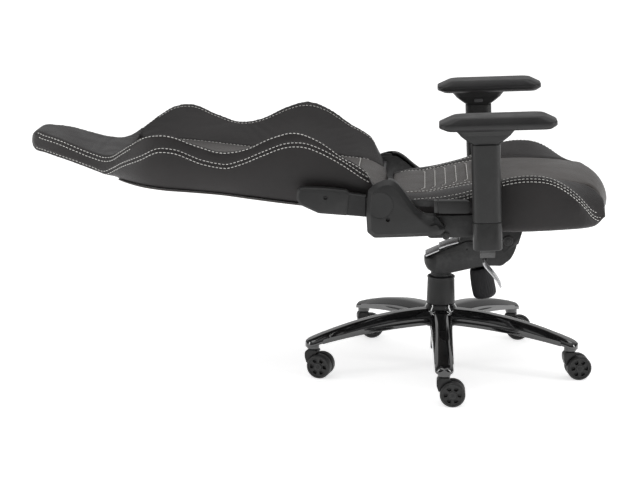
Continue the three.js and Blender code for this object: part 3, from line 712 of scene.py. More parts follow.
class Soft:
    """A padded piece on its way from a plain loft to a swollen, seamed cushion."""

    def __init__(self, name, body, nodes, slot, lofts, place, seams, held, reach):
        self.body = body
        self.nodes = nodes
        self.slot = slot
        self.place = place
        self.held = held
        self.reach = reach
        self.seams = [np.array(line) for line in seams]
        self.shape = joined(name, *(loft(name, rings, place) for rings in lofts))
        paint(self.shape, SLOT_MATERIALS[slot])

    def seam_distance(self, co):
        points = [p for line in self.seams for p in dense(line, 0.002)]
        tree = KDTree(len(points))
        for i, point in enumerate(points):
            tree.insert(point, i)
        tree.balance()
        return np.array([tree.find(p)[2] for p in co])

    def remesh(self):
        mesh = self.shape.data
        set_points(mesh, points_of(mesh) - normals_of(mesh) * SHRINK)
        voxels = self.shape.modifiers.new("voxels", "REMESH")
        voxels.mode = "VOXEL"
        voxels.voxel_size = VOXEL
        self.smooth(0.5)
        apply_modifiers(self.shape)

    def smooth(self, factor):
        smooth = self.shape.modifiers.new("smooth", "SMOOTH")
        smooth.iterations = 2
        smooth.factor = factor

    def hold(self):
        """Pins the seams and the faces that rest on something, and lets the panels between them swell."""
        near = 1 - fade(self.seam_distance(points_of(self.shape.data)), 0.004, 0.016)
        local = moved_by(self.place.inverted(), points_of(self.shape.data))
        weight = np.maximum(near, self.held(*local.T))
        group = self.shape.vertex_groups.new(name="held")
        for i, w in enumerate(weight):
            if w > 0.01:
                group.add([i], float(w), "REPLACE")

    def add_cloth(self):
        cloth = self.shape.modifiers.new("cloth", "CLOTH")
        settings = cloth.settings
        settings.quality = 4
        settings.mass = 0.35
        settings.tension_stiffness = 12
        settings.compression_stiffness = 12
        settings.bending_stiffness = 1.2
        settings.use_pressure = True
        settings.uniform_pressure_force = 4
        settings.vertex_group_mass = "held"
        settings.effector_weights.gravity = 0
        cloth.point_cache.frame_end = SWELL_FRAMES

    def keep_swelling(self):
        """Takes the simulated shape, with no point moved further than the piece's reach."""
        start = points_of(self.shape.data)
        swollen = self.shape.evaluated_get(bpy.context.evaluated_depsgraph_get())
        moved = points_of(swollen.data) - start
        length = np.linalg.norm(moved, axis=1, keepdims=True)
        moved *= self.reach * np.tanh(length / self.reach) / np.maximum(length, 1e-9)
        self.shape.modifiers.clear()
        set_points(self.shape.data, start + moved)

    def refine(self):
        self.smooth(0.4)
        finer = self.shape.modifiers.new("finer", "SUBSURF")
        finer.levels = 1
        finer.render_levels = 1
        apply_modifiers(self.shape)
        self.shape.vertex_groups.clear()

    def sew(self):
        """Draws the cover in along its seams, with small puckers beside each one."""
        mesh = self.shape.data
        co, normals = points_of(mesh), normals_of(mesh)
        distance = self.seam_distance(co)
        groove = GROOVE_DEPTH * (1 - fade(distance, 0, GROOVE_REACH))
        ripple = np.sin(co @ np.array([520.0, 470.0, 560.0])) * np.sin(co @ np.array([-190.0, 240.0, 210.0]))
        pucker = PUCKER * ripple * (1 - fade(distance, 0.004, 0.022))
        set_points(mesh, co - normals * (groove - pucker)[:, None])

    def done(self, fill):
        finish_piece(self.shape, self.body, self.nodes, 70)
        self.surface = BVHTree.FromObject(self.shape, bpy.context.evaluated_depsgraph_get())


def dense(line, step):
    """Points along a line of points, no more than a step apart."""
    out = []
    for a, b in zip(line[:-1], line[1:]):
        count = max(1, int(math.ceil(np.linalg.norm(b - a) / step)))
        out.extend(a + (b - a) * k / count for k in range(count))
    out.append(line[-1])
    return out


def swell(softs):
    """Runs one cloth simulation with all soft pieces in it."""
    for soft in softs:
        soft.remesh()
        soft.hold()
    for soft in softs:
        soft.add_cloth()
    scene = bpy.context.scene
    scene.frame_start, scene.frame_end = 1, SWELL_FRAMES
    for number in range(1, SWELL_FRAMES + 1):
        scene.frame_set(number)
    for soft in softs:
        soft.keep_swelling()
    scene.frame_set(1)
    for soft in softs:
        soft.refine()
        soft.sew()


def placed(place, points):
    return [np.array(place @ Vector(p)) for p in points]


def flank_line(side, forward, low, high, inset=0.0):
    """A line up one side of the back, with its distance forward as a function of the height."""
    return placed(BACK, [(forward(z), side * (HALF(z) - inset), z) for z in stations(low, high, 6)])


def seat_line(side):
    """The bolster's seam, just below its crest."""
    return placed(SEAT, [(x, side * (SEAT_HALF(x) - 6), SEAT_CREST(x) - 4) for x in stations(26, 520, 8)])


QUILT_AT = (103, 128, 153, 179, 206)
QUILT_HALF = 106
BACK_QUILT_AT = (120, 146, 172, 198, 224, 250, 276)
LUMBAR_SEAM = 62


def quilt_row(at, half=QUILT_HALF, turn=9):
    """A row across a middle as (along, Y) points, turning back towards the rear at both ends."""
    return [(at - turn, -half - 14), (at, -half), (at, 0), (at, half), (at - turn, half + 14)]


def quilt_line(x):
    return [(a, y, SEAT_MIDDLE(a) + 4 * (1 - (y / CENTRE_HALF) ** 2)) for a, y in quilt_row(x)]


def back_quilt_line(*row):
    return [(BACK_MIDDLE(b) + 5 * (1 - (y / CENTRE_HALF) ** 2), y, b) for b, y in quilt_row(*row)]


def lumbar_line():
    return back_quilt_line(LUMBAR_SEAM, CENTRE_HALF - 14, 0)


def by_centre(y):
    """1 at a bolster's or wing's inner face, 0 away from it."""
    return 1 - fade(abs(y), CENTRE_HALF + 1, CENTRE_HALF + 14)


def hold_wings(w, y, z):
    """Held where the wings meet the middle of the back, and at their rear and lower ends."""
    inner = by_centre(y) * fade(z, BACK_TOP + 12, BACK_TOP - 2) * fade(abs(y), 120, 140)
    return np.maximum.reduce([inner, fade(w, -22, -33) * fade(z, 660, 640), fade(z, 22, 2)])


def make_upholstery():
    softs = {}
    seams = []
    for side in (1, -1):
        seams.append(flank_line(side, lambda z: CREST(z) - 2, 26, 856, 5))
        seams.append(flank_line(side, BAND_LOW, 22, 856))
    softs["shell"] = Soft(
        "back_wings_cover", "back", ("back_wing_left", "back_wing_right", "headrest"), "side_leatherette",
        [wing_rings(1), wing_rings(-1), head_rings()], BACK, seams, hold_wings, 0.007,
    )
    for tag, side in SIDES.items():
        softs["bolster_" + tag] = Soft(
            f"seat_bolster_{tag}_cover", "seat", (f"seat_bolster_{tag}",), "side_leatherette",
            [seat_bolster_rings(side)], SEAT, [seat_line(side)],
            lambda x, y, z: np.maximum.reduce([by_centre(y), fade(z, -70, -81), fade(x, 36, 22)]), 0.008,
        )
    softs["back"] = Soft(
        "back_centre_cover", "back", ("back_cushion",), "leatherette", [back_centre_rings()], BACK,
        [placed(BACK, back_quilt_line(z)) for z in BACK_QUILT_AT] + [placed(BACK, lumbar_line())],
        lambda w, y, z: np.maximum.reduce([fade(abs(y), 136, 148), fade(w, 0, -20), fade(z, 612, 626)]),
        0.009,
    )
    softs["seat"] = Soft(
        "seat_centre_cover", "seat", ("seat_cushion",), "leatherette", [seat_centre_rings()], SEAT,
        [placed(SEAT, quilt_line(x)) for x in QUILT_AT],
        lambda x, y, z: np.maximum.reduce([fade(abs(y), 136, 148), fade(z, -60, -81), fade(x, 40, 26)]),
        0.010,
    )
    swell(list(softs.values()))
    for soft in softs.values():
        soft.done(0.85)
    return softs


# -------- stitching

STITCH = 0.0066
STITCH_PITCH = 0.0092
THREAD_RADIUS = 0.00085
STITCH_SIDES = 6


def cast_lines(surface, place, points, direction, start):
    """Where rays from a start distance before local points meet a surface, as (point, normal) pairs."""
    way = (place.to_3x3() @ Vector(direction)).normalized()
    hits = []
    for p in points:
        hit, normal, _, _ = surface.ray_cast(place @ Vector(p) - way * start, way)
        if hit is not None:
            hits.append((hit, normal))
    return hits


def unbroken(hits, gap=0.016):
    """The runs of a line of hits between places where it jumps to another surface."""
    runs = [[]]
    for hit in hits:
        if runs[-1] and (hit[0] - runs[-1][-1][0]).length > gap:
            runs.append([])
        runs[-1].append(hit)
    return [run for run in runs if len(run) > 2]


def even_steps(hits, step):
    """(point, normal, direction) at even distances along a line of hits."""
    lengths = [0.0]
    for (a, _), (b, _) in zip(hits[:-1], hits[1:]):
        lengths.append(lengths[-1] + (b - a).length)
    out = []
    i = 0
    for k in range(int(lengths[-1] / step)):
        at = (k + 0.5) * step
        while lengths[i + 1] < at:
            i += 1
        t = (at - lengths[i]) / (lengths[i + 1] - lengths[i])
        (a, normal_a), (b, normal_b) = hits[i], hits[i + 1]
        out.append((a.lerp(b, t), normal_a.lerp(normal_b, t).normalized(), (b - a).normalized()))
    return out


def stitch_template():
    """Rings of one stitch along X: round in section, sunk into the cover at both ends."""
    half = [(0.4, 1, 0.5), (0.8, 0.9, -0.2), (1, 0.45, -1.5)]
    rings = []
    for share, radius, height in [(-share, *rest) for share, *rest in reversed(half)] + half:
        for y, z in circle(radius * THREAD_RADIUS, (0, height * THREAD_RADIUS), STITCH_SIDES):
            rings.append((share * STITCH / 2, y, z))
    return np.array(rings)


def make_stitches(name, body, rows):
    template = stitch_template()
    count = len(template)
    quads = ring_faces(count // STITCH_SIDES, STITCH_SIDES)
    quads += [tuple(reversed(range(STITCH_SIDES))), tuple(range(count - STITCH_SIDES, count))]
    points, faces = [], []
    for run in (run for row in rows for run in unbroken(row)):
        for point, normal, along in even_steps(run, STITCH_PITCH):
            along = (along - normal * along.dot(normal)).normalized()
            axes = np.array([along, normal.cross(along), normal])
            base = len(points) * count
            faces += [tuple(base + v for v in face) for face in quads]
            points.append(template @ axes + np.array(point))
    made = make_mesh(name, np.concatenate(points), faces, Matrix.Identity(4))
    paint(made, THREAD)
    finish_piece(made, body, angle=60)


def side_row(surface, place, side, points):
    """A row on the outside of a flank, from points in the frame's XZ plane."""
    return cast_lines(surface, place, [(a, side * 400, b) for a, b in points], (0, -side, 0), 0)


def crest_row(surface, place, side, points, down):
    """A row beside a crest, met by rays that come in at a slant from outside and above."""
    return cast_lines(surface, place, points, (0.45 * down[0], -side, 0.45 * down[2]), 0.12)


def top_row(surface, place, points, down):
    return cast_lines(surface, place, points, down, 0.2)


def middle_rows(surface, place, lines, side_line, down):
    """The quilting across a middle, and a row along each of its two sides."""
    rows = [top_row(surface, place, dense([np.array(p) for p in line], 4), down) for line in lines]
    for side in (1, -1):
        line = [(x, side * (CENTRE_HALF - 9), z) for x, z in side_line]
        rows.append(top_row(surface, place, line, down))
    return rows


def stitch_wings(softs):
    surface = softs["shell"].surface
    down = (-1, 0, 0)
    for tag, side in SIDES.items():
        rows = []
        outer = ((CREST, -16, 596, 850), (BAND_LOW, 2, 30, 854), (BAND_LOW, -7.5, 30, 850))
        for curve, offset, low, high in outer:
            points = [(curve(z) + offset, z) for z in stations(low, high, 4)]
            rows.append(side_row(surface, BACK, side, points))
        crest = [(CREST(z) - 7, side * (HALF(z) - 4), z) for z in stations(30, 854, 4)]
        rows.append(crest_row(surface, BACK, side, crest, down))
        inner = [(0, side * (HALF(z) - 17), z) for z in stations(30, 596, 4)]
        rows.append(top_row(surface, BACK, inner, down))
        make_stitches(f"back_wing_{tag}_stitching", "back", rows)


def stitch_bolsters(softs):
    down = (0, 0, -1)
    for tag, side in SIDES.items():
        surface = softs["bolster_" + tag].surface
        crest = [(x, side * (SEAT_HALF(x) - 5), SEAT_CREST(x) - 6) for x in stations(40, 514, 4)]
        outer = [(x, SEAT_CREST(x) - 14) for x in stations(40, 512, 4)]
        rows = [crest_row(surface, SEAT, side, crest, down), side_row(surface, SEAT, side, outer)]
        for inward, high in ((19, 508), (SEAT_HALF(120) - CENTRE_HALF - 9, 250)):
            line = [(x, side * (SEAT_HALF(x) - inward), 0) for x in stations(40, high, 4)]
            rows.append(top_row(surface, SEAT, line, down))
        make_stitches(f"seat_bolster_{tag}_stitching", "seat", rows)


def stitch_middles(softs):
    lines = [quilt_line(x) for x in QUILT_AT]
    side_line = [(x, 0) for x in stations(40, 250, 6)]
    rows = middle_rows(softs["seat"].surface, SEAT, lines, side_line, (0, 0, -1))
    make_stitches("seat_centre_stitching", "seat", rows)
    lines = [back_quilt_line(z) for z in BACK_QUILT_AT] + [lumbar_line()]
    side_line = [(0, z) for z in stations(40, 612, 6)]
    rows = middle_rows(softs["back"].surface, BACK, lines, side_line, (-1, 0, 0))
    make_stitches("back_centre_stitching", "back", rows)


# -------- hard pieces


def inset(outline, depth):
    """The outline moved inwards by a depth, corner by corner."""
    points = np.array(outline, float)
    befores = np.roll(points, 1, axis=0)
    afters = np.roll(points, -1, axis=0)
    area = sum(a[0] * b[1] - b[0] * a[1] for a, b in zip(points, afters))
    moved = []
    for before, point, after in zip(befores, points, afters):
        one = (point - before) / np.linalg.norm(point - before)
        two = (after - point) / np.linalg.norm(after - point)
        inward = np.array([-(one + two)[1], (one + two)[0]]) * math.copysign(1, area)
        inward /= max(np.linalg.norm(inward), 1e-6)
        lean = max(0.5, abs(inward @ np.array([-one[1], one[0]])))
        moved.append(tuple(point + inward * depth / lean))
    return moved


def stepped(name, outline, steps, place, radius=4.0):
    """A plate across Y through (Y, inset) steps, for chamfered faces; its corners are rounded."""
    rings = [[(x, y, z) for x, z in rounded(inset(outline, depth), radius, 3)] for y, depth in steps]
    return loft(name, rings, place)


def boolean(made, tool, kind="DIFFERENCE"):
    """Cuts, joins or meets a body with another, which is used up."""
    apply_modifiers(made)
    apply_modifiers(tool)
    change = made.modifiers.new("change", "BOOLEAN")
    change.operation = kind
    change.solver = "EXACT"
    change.object = tool
    apply_modifiers(made)
    bpy.data.objects.remove(tool)
    return made


def rod(name, radius, span, centre, place, bevel=0.6, axis="Y"):
    return prism(name, circle(radius, centre), span, place, bevel, axis)


def rectangle(low_a, high_a, low_b, high_b):
    return [(low_a, low_b), (high_a, low_b), (high_a, high_b), (low_a, high_b)]


def block(name, low, high, place):
    return prism(name, rectangle(low[0], high[0], low[2], high[2]), (low[1], high[1]), place, 0)


def bar_outline(line, thickness):
    """The outline of a flat bar of even thickness along a line."""
    points = [Vector(p) for p in line]
    one = []
    other = []
    for i, point in enumerate(points):
        along = (points[min(i + 1, len(points) - 1)] - points[max(i - 1, 0)]).normalized()
        across = Vector((-along.y, along.x)) * thickness / 2
        one.append(tuple(point + across))
        other.append(tuple(point - across))
    return one + other[::-1]


def curved(points, count):
    """Points along the Bezier curve of a list of control points."""
    out = []
    for t in np.linspace(0, 1, count):
        row = [np.array(p, float) for p in points]
        while len(row) > 1:
            row = [(1 - t) * a + t * b for a, b in zip(row[:-1], row[1:])]
        out.append(tuple(row[0]))
    return out


def copy_of(template, name, matrix):
    made = new_object(name, template.data.copy())
    made.data.transform(matrix)
    return made


def discard(*pieces):
    for piece in pieces:
        bpy.data.objects.remove(piece)


# -------- star base and casters

MODEL = Matrix.Scale(MM, 4)
STAR_RADIUS = 330
TOE_RADIUS = 19
LEG_END = STAR_RADIUS + TOE_RADIUS
LEG_TOP = ((30, 152), (190, 152), (LEG_END, 92))
LEG_UNDER = ((30, 114), (220, 112), (LEG_END, 76))
LEG_STATIONS = 26
SOCKET_RADIUS = 5.8


def mirrored(points):
    """The points of one side's outline for the other side, in the order that continues it."""
    return [(-a, b) for a, b in reversed(points)]


def leg_section(high, low, half, flange):
    """A folded channel: flat top, sloping shoulders, and a flange that fades out towards the end."""
    shoulder = low + 0.5 * (high - low)
    outside = [
        (half + 0.6 * flange, low), (half + 0.6 * flange, low + 9), (half - 2 * flange, low + 12),
        (half - 0.4, shoulder), (0.52 * half, high),
    ]
    inside = [(0.52 * half - 2, high - 4), (half - 4, shoulder - 2), (half - 4, low)]
    points = outside + mirrored(outside) + mirrored(inside) + inside
    radii = [1, 1.5, 1.5, 7, 6]
    return rounded(points, radii + radii[::-1] + [1] * 6, 4)


def make_toe(top, under):
    """The leg's solid end, round in plan about the caster's stem."""
    rings = []
    round_end = [STAR_RADIUS + TOE_RADIUS * math.sin(a) for a in np.linspace(0.25, 1.52, 9)]
    for x in [*stations(300, 334, 6), *round_end]:
        width = math.sqrt(max(0.02, 1 - (max(0, x - STAR_RADIUS) / (TOE_RADIUS + 0.4)) ** 2))
        half = 22.4 * width
        high = np.interp(x, *np.array(top).T) - 3 * (1 - width) + 0.3
        low = np.interp(x, *np.array(under).T) - 0.3
        corners = [(half, low), (half, 0.55 * low + 0.45 * high), (0.55 * half, high)]
        outline = rounded(corners + mirrored(corners), [2, 6, 6, 6, 6, 2], 4)
        rings.append([(x, y, z) for y, z in outline])
    return loft("toe", rings, MODEL)


def make_leg():
    top = curved(LEG_TOP, LEG_STATIONS)
    under = curved(LEG_UNDER, LEG_STATIONS)
    rings = []
    for i in range(LEG_STATIONS - 3):
        share = i / (LEG_STATIONS - 1)
        section = leg_section(top[i][1], under[i][1], 28 - 6 * share, 1 - fade(share, 0.35, 0.62))
        rings.append([(top[i][0], y, z) for y, z in section])
    leg = loft("leg", rings, MODEL)
    boolean(leg, make_toe(top, under), "UNION")
    boolean(leg, rod("boss", 15.5, (71.7, 84), (STAR_RADIUS, 0), MODEL, 0, "Z"), "UNION")
    boolean(leg, rod("socket", SOCKET_RADIUS, (60, 87), (STAR_RADIUS, 0), MODEL, 0, "Z"))
    return leg


def caster_place(number):
    """Puts a part drawn about a caster's stem, trailing along X, where the numbered caster is."""
    stem = Vector(JOINTS[f"caster_swivel_{number}"]["pos_m"])
    axle = Vector(JOINTS[f"wheel_roll_{number}_left"]["pos_m"])
    turn = Matrix.Rotation(math.atan2(axle.y - stem.y, axle.x - stem.x), 4, "Z")
    return Matrix.Translation((stem.x, stem.y, 0)) @ turn


def make_star_base():
    hub = revolve("star_base_painted", [
        (24.5, 106), (36, 106), (39, 108), (41, 113), (41.4, 146), (40, 153), (36.5, 158), (35.2, 163),
        (24.5, 163),
    ], STAND, 72)
    leg = make_leg()
    for number in range(1, 6):
        stem = Vector(JOINTS[f"caster_swivel_{number}"]["pos_m"]) - COLUMN
        turn = Matrix.Rotation(math.atan2(stem.y, stem.x), 4, "Z")
        boolean(hub, copy_of(leg, "one", Matrix.Translation((COLUMN.x, COLUMN.y, 0)) @ turn), "UNION")
    boolean(hub, rod("bore", 24.5, (100, 170), (0, 0), STAND, 0, "Z"))
    discard(leg)
    paint(hub, GLOSS)
    finish_piece(hub, "base", ["star_base"], 35)


CASTER_TRAIL = 20
WHEEL_RADIUS = 30


def make_caster_fork():
    """Hood, neck and web of a caster, with the stem on Z."""
    side = [
        (-17.5, 50), (-13, 36), (-10.5, 35), (-6.5, 46), (0, 54), (9, 59.5), (15, 62), (12.5, 68.5),
        (-12, 68.5), (-17.5, 62),
    ]
    hood = prism("hood", rounded(side, 3, 3), (-14, 14), MODEL, 2.6)
    side = [(-10, 38), (2, 15), (20, 8), (36, 16), (38, 36), (16, 60), (-5, 60)]
    boolean(hood, prism("web", rounded(side, 4, 3), (-3.8, 3.8), MODEL, 0.8), "UNION")
    profile = [(0, 60), (12.5, 60), (12.5, 67), (10.8, 69), (10.8, 71.6), (0, 71.6)]
    boolean(hood, revolve("neck", profile, MODEL, 32), "UNION")
    boolean(hood, rod("stem", 5.4, (66, 86), (0, 0), MODEL, 0, "Z"), "UNION")
    boolean(hood, rod("axle", 4, (-24.4, 24.4), (CASTER_TRAIL, WHEEL_RADIUS), MODEL, 0), "UNION")
    return paint(hood, CASTER)


def make_caster_wheel():
    """A wheel about local Z, its outer face up: grooved tread, dished face with six openings, hub cap."""
    wheel = revolve("wheel", [
        (4.3, 4.8), (27.5, 4.8), (29.4, 5.6), (WHEEL_RADIUS, 7.4), (WHEEL_RADIUS, 11), (28.8, 11.8),
        (28.8, 13.4), (WHEEL_RADIUS, 14.2), (WHEEL_RADIUS, 19.6), (29.3, 21.6), (27.6, 23.2), (26, 23.8),
        (24.8, 23.8), (24.2, 22.6), (22.6, 22.2), (9.5, 22.4), (8.8, 24), (4.3, 24.2),
    ], MODEL, 72)
    opening = rounded([(11.5, -3.4), (19.6, -5.8), (21, 0), (19.6, 5.8), (11.5, 3.4)], 1.6, 3)
    for turn in np.linspace(0, 2 * math.pi, 6, endpoint=False):
        place = MODEL @ Matrix.Rotation(turn, 4, "Z")
        boolean(wheel, prism("opening", opening, (15.5, 30), place, 0, "Z"))
    return paint(wheel, TREAD)


def make_casters():
    fork, wheel = make_caster_fork(), make_caster_wheel()
    axle = Matrix.Translation((CASTER_TRAIL * MM, 0, WHEEL_RADIUS * MM))
    for number in range(1, 6):
        place = caster_place(number)
        made = copy_of(fork, f"caster_fork_{number}_moulded", place)
        finish_piece(made, f"caster_{number}", [f"caster_fork_{number}"], 35)
        for tag, side in SIDES.items():
            upright = Matrix.Rotation(-side * math.pi / 2, 4, "X")
            made = copy_of(wheel, f"caster_wheel_{number}_{tag}_treaded", place @ axle @ upright)
            finish_piece(made, f"wheel_{number}_{tag}", [f"caster_wheel_{number}_{tag}"], 35)
    discard(fork, wheel)


# -------- column and mechanism


def make_column():
    for name, body, profile in (
        ("lower", "base", [
            (27.9, 163.3), (33.4, 163.3), (34.8, 164.5), (34.9, 170), (33.4, 222), (33.2, 226), (34.2, 228.5),
            (34.2, 231), (33.4, 232), (30.5, 232), (29.6, 230), (27.9, 229.4),
        ]),
        ("middle", "cover_middle", [(26.2, 165.5), (27.5, 165.5), (27.5, 230), (27, 231), (26.2, 231)]),
        ("upper", "lift", [
            (24.4, 167.5), (25.8, 167.5), (25.8, 238), (25.2, 239), (25.2, 241.5), (25.8, 242.5),
            (25.8, 249.2), (24.4, 249.6),
        ]),
    ):
        made = revolve(f"column_cover_{name}_moulded", profile, STAND, 72)
        paint(made, PLASTIC)
        finish_piece(made, body, [f"column_cover_{name}"], 30)


def make_channel():
    """The mechanism's pressed channel, with its rear end round in plan and a seat for the column."""
    outline = rounded([
        (-43, 281), (-42, 266), (-35, 251), (-25, 246), (26, 246), (63, 255), (92, 262), (128, 267),
        (150, 267), (168, 282), (150, 330), (60, 326), (20, 309), (-4, 299), (-24, 291), (-36, 284),
    ], 5, 3)
    rim = [(34, 2.5), (33.2, 1), (31.5, 0)]
    rings = []
    for y, tight in [(-y, tight) for y, tight in rim] + [(y, 0) for y in stations(-27, 27, 3)] + rim[::-1]:
        bulge = 22 * (1 - math.sqrt(1 - max(0, (abs(y) - 10) / 24.6) ** 2))
        rings.append([(x + bulge * fade(x, 10, -43), y, z) for x, z in inset(outline, tight)])
    shell = loft("tilt_housing_cast", rings, STAND)
    for side in (1, -1):
        boolean(shell, rod("eye", 2.4, (side * 31, side * 36), (62, 306), STAND, 0))
    boolean(shell, rod("seat", 26.2, (240, 250), (0, 0), STAND, 0, "Z"))
    return paint(shell, HOUSING)


TILT_PIN = (162, 330)


def make_housing():
    """The channel with its bright lid strips, the front block and the ears of the tilt pivot."""
    parts = [make_channel()]
    for line in (((-39, 287), (-22, 295), (-6, 302)), ((-6, 306.5), (14, 315), (41, 322.5))):
        parts.append(paint(prism("strip", bar_outline(line, 4.2), (-30.5, 30.5), STAND, 0.8), BRIGHT))
    top = rounded([(38, 312), (44, 330), (56, 336), (120, 345), (166, 346), (150, 300)], 3, 3)
    parts.append(paint(prism("top", top, (-28, 28), STAND, 1.5), STEEL))
    ear = rounded([
        (112, 266), (148, 266), (169, 283), (178, 300), (184, 318), (181, 337), (168, 348), (128, 346),
        (112, 320),
    ], 6, 4)
    for side in (1, -1):
        parts.append(paint(prism("ear", ear, (side * 31, side * 38), STAND, 1.6), HOUSING))
        parts.append(paint(rod("boss", 12.5, (side * 37, side * 43.5), TILT_PIN, STAND, 2.2), STEEL))
        parts.append(paint(rod("pin", 6, (side * 43, side * 45.5), TILT_PIN, STAND, 1), STEEL))
    whole = joined("tilt_housing_cast", *parts)
    finish_piece(whole, "mechanism", ["tilt_housing"], 32)


KNOB_RIBS = 30


def make_tension_knob():
    """A tapered knob hung under the mechanism, with grooves up its grip."""
    place = STAND @ Matrix.Translation((94, 0, 258)) @ Matrix.Rotation(math.radians(-12), 4, "Y")
    profile = [
        (0, -82), (17, -82), (22, -80.8), (26, -77.4), (28.6, -73), (29.5, -67), (29.5, -45), (28, -26),
        (26.2, -10), (24.6, -6), (20, -4), (10, -4), (10, 0), (6, 0), (6, 12), (0, 12),
    ]
    knob = revolve("tension_knob_ribbed", profile, MODEL, 4 * KNOB_RIBS)
    co = points_of(knob.data) / MM
    radius = np.hypot(co[:, 0], co[:, 1])
    turn = np.arctan2(co[:, 1], co[:, 0])
    grip = fade(radius, 21, 25) * fade(co[:, 2], -9, -14)
    shrink = 1 - 0.028 * grip * (0.5 + 0.5 * np.cos(KNOB_RIBS * turn)) ** 3
    co[:, :2] *= shrink[:, None]
    set_points(knob.data, co * MM)
    knob.data.transform(place @ MODEL.inverted())
    paint(knob, RUBBER)
    finish_piece(knob, "tension_knob", ["tension_knob"], 40)


HEIGHT_PADDLE = ((98, 309), (99, 299), (107, 291), (119, 281), (131, 266), (141, 247))
LOCK_PADDLE = ((56, 299), (52, 293), (42, 287), (30, 283), (16, 278))


def make_mechanism_levers():
    """A steel stem out of each side of the mechanism, with a curved sheet paddle at its end."""
    for name, side, hole, line in (
        ("height_lever", -1, (103, 300), HEIGHT_PADDLE), ("tilt_lock_lever", 1, (60, 292), LOCK_PADDLE),
    ):
        stem = paint(rod("stem", 4, (side * 20, side * 128), hole, STAND, 0.8), STEEL)
        sleeve = paint(rod("sleeve", 6.4, (side * 112, side * 127), hole, STAND, 1.2), STEEL)
        shape = bar_outline(curved(line, 14), 4.4)
        paddle = paint(prism("paddle", shape, (side * 125, side * 186), STAND, 1.4), BRIGHT)
        made = joined(name + "_pressed", paddle, stem, sleeve)
        finish_piece(made, name, [name], 35)


# -------- recline hinges and armrests

PIVOT_FACE = 297  # |Y| of the hinge covers' outer face
HINGE_SCREW = (17, -36)
ARM_SCREW = (0, 127)
HINGE_OUTLINE = (
    (-27, 33), (-33, -22), (-32, -66), (-16, -80), (44, -80), (113, -79), (140, -76), (150, -63), (127, -31),
    (106, -29), (97, -26), (86, -16), (76, -3), (64, 15), (55, 29), (47, 40), (36, 51), (26, 56), (10, 56),
    (-8, 49),
)
HINGE_POCKET = (
    (-26, 26), (-28, -62), (-14, -75), (112, -74), (138, -69), (121, -36), (104, -34), (93, -31), (81, -20),
    (71, -5), (51, 25), (32, 47), (10, 51), (-8, 43),
)
ARM_OUTLINE = (
    (10, 194), (-11, 194), (-24, 184), (-39, 140), (-37, 72), (15, 72), (21, 80), (21, 135), (17, 186),
)
ARM_NECK = ((-37, 76), (-36, 28), (13, 34), (15, 76))
ARM_POCKET = (
    (5, 189), (-9, 189), (-20, 180), (-34, 138), (-32, 20), (9, 20), (11, 75), (16, 84), (16, 134), (12, 182),
)


def hinge_shape(outline, side):
    """The left hinge has no recline works in it, so its arch is lower."""
    return [(x, -20 + 0.6 * (z + 20) if side > 0 and z > -20 else z) for x, z in outline]


def make_hinge_cover(tag, side):
    """The hollow cover over a recline hinge, open towards the back, with a chamfer, a facet and a screw."""
    steps = [(262.7, 0), (286.5, 0), (288, 0.8), (295.4, 9.4), (PIVOT_FACE, 10.6)]
    steps = [(side * y, depth) for y, depth in steps]
    cover = stepped(f"hinge_cover_{tag}_moulded", hinge_shape(HINGE_OUTLINE, side), steps, SEAT)
    hollow = (side * 258, side * 284)
    boolean(cover, prism("pocket", hinge_shape(HINGE_POCKET, side), hollow, SEAT, 0))
    boolean(cover, block("swing", (-80, min(hollow), -43), (20, max(hollow), 90), SEAT))
    soften_edges(cover, 0.8, 24, 2)
    facet = make_mesh("facet", [
        (110, side * 298, -53), (131, side * 282, -22), (157, side * 282, -68), (156, side * 304, -34),
    ], [(0, 1, 2), (0, 3, 1), (1, 3, 2), (2, 3, 0)], SEAT)
    tidy(facet)
    boolean(cover, facet)
    boolean(cover, rod("screw_hole", 5.0, (side * 288, side * (PIVOT_FACE + 5)), HINGE_SCREW, SEAT, 0))
    groove = rod("groove", 31.6, (side * (PIVOT_FACE - 0.9), side * (PIVOT_FACE + 5)), (0, -1), SEAT, 0)
    boolean(groove, rod("land", 30.2, (side * 290, side * 306), (0, -1), SEAT, 0))
    boolean(cover, groove)
    paint(cover, PLASTIC)
    screw = paint(rod("screw", 4.4, (side * 286, side * 289), HINGE_SCREW, SEAT, 0.4), STEEL)
    whole = joined(f"hinge_cover_{tag}_moulded", cover, screw)
    finish_piece(whole, "seat", [f"hinge_cover_{tag}"], 26)


def make_seat_rail(tag, side):
    """The plate beside the bolster that carries the armrest's front bolt. The CAD model has no such plate."""
    outline = rounded([(94, -68), (112, -90), (225, -90), (225, -38), (104, -38)], 5, 3)
    rail = paint(prism("rail", outline, (side * 255.6, side * 260.6), SEAT, 0.8), STEEL)
    bolt = paint(rod("bolt", 9, (side * 255, side * 265), (150, -85), SEAT, 2), STEEL)
    made = joined(f"seat_rail_{tag}", rail, bolt)
    finish_piece(made, "seat", angle=30)


def make_arm_cover(tag, side):
    """The hollow cover over the arm that carries the back, with a lower neck into the hinge cover."""
    steps = [(side * y, depth) for y, depth in ((258, 0), (279.5, 0), (283, 5))]
    cover = stepped(f"hinge_arm_cover_{tag}_moulded", ARM_OUTLINE, steps, BACK)
    steps = [(side * y, depth) for y, depth in ((258, 0), (276.5, 0), (279, 2.5))]
    boolean(cover, stepped("neck", ARM_NECK, steps, BACK, 1.5), "UNION")
    boolean(cover, prism("pocket", ARM_POCKET, (side * 254, side * 275), BACK, 0))
    soften_edges(cover, 0.9, 24, 2)
    boolean(cover, rod("screw_hole", 5.0, (side * 276, side * 290), ARM_SCREW, BACK, 0))
    paint(cover, PLASTIC)
    screw = paint(rod("screw", 4.4, (side * 275.2, side * 278), ARM_SCREW, BACK, 0.4), STEEL)
    whole = joined(f"hinge_arm_cover_{tag}_moulded", cover, screw)
    finish_piece(whole, "back", [f"hinge_arm_cover_{tag}"], 26)


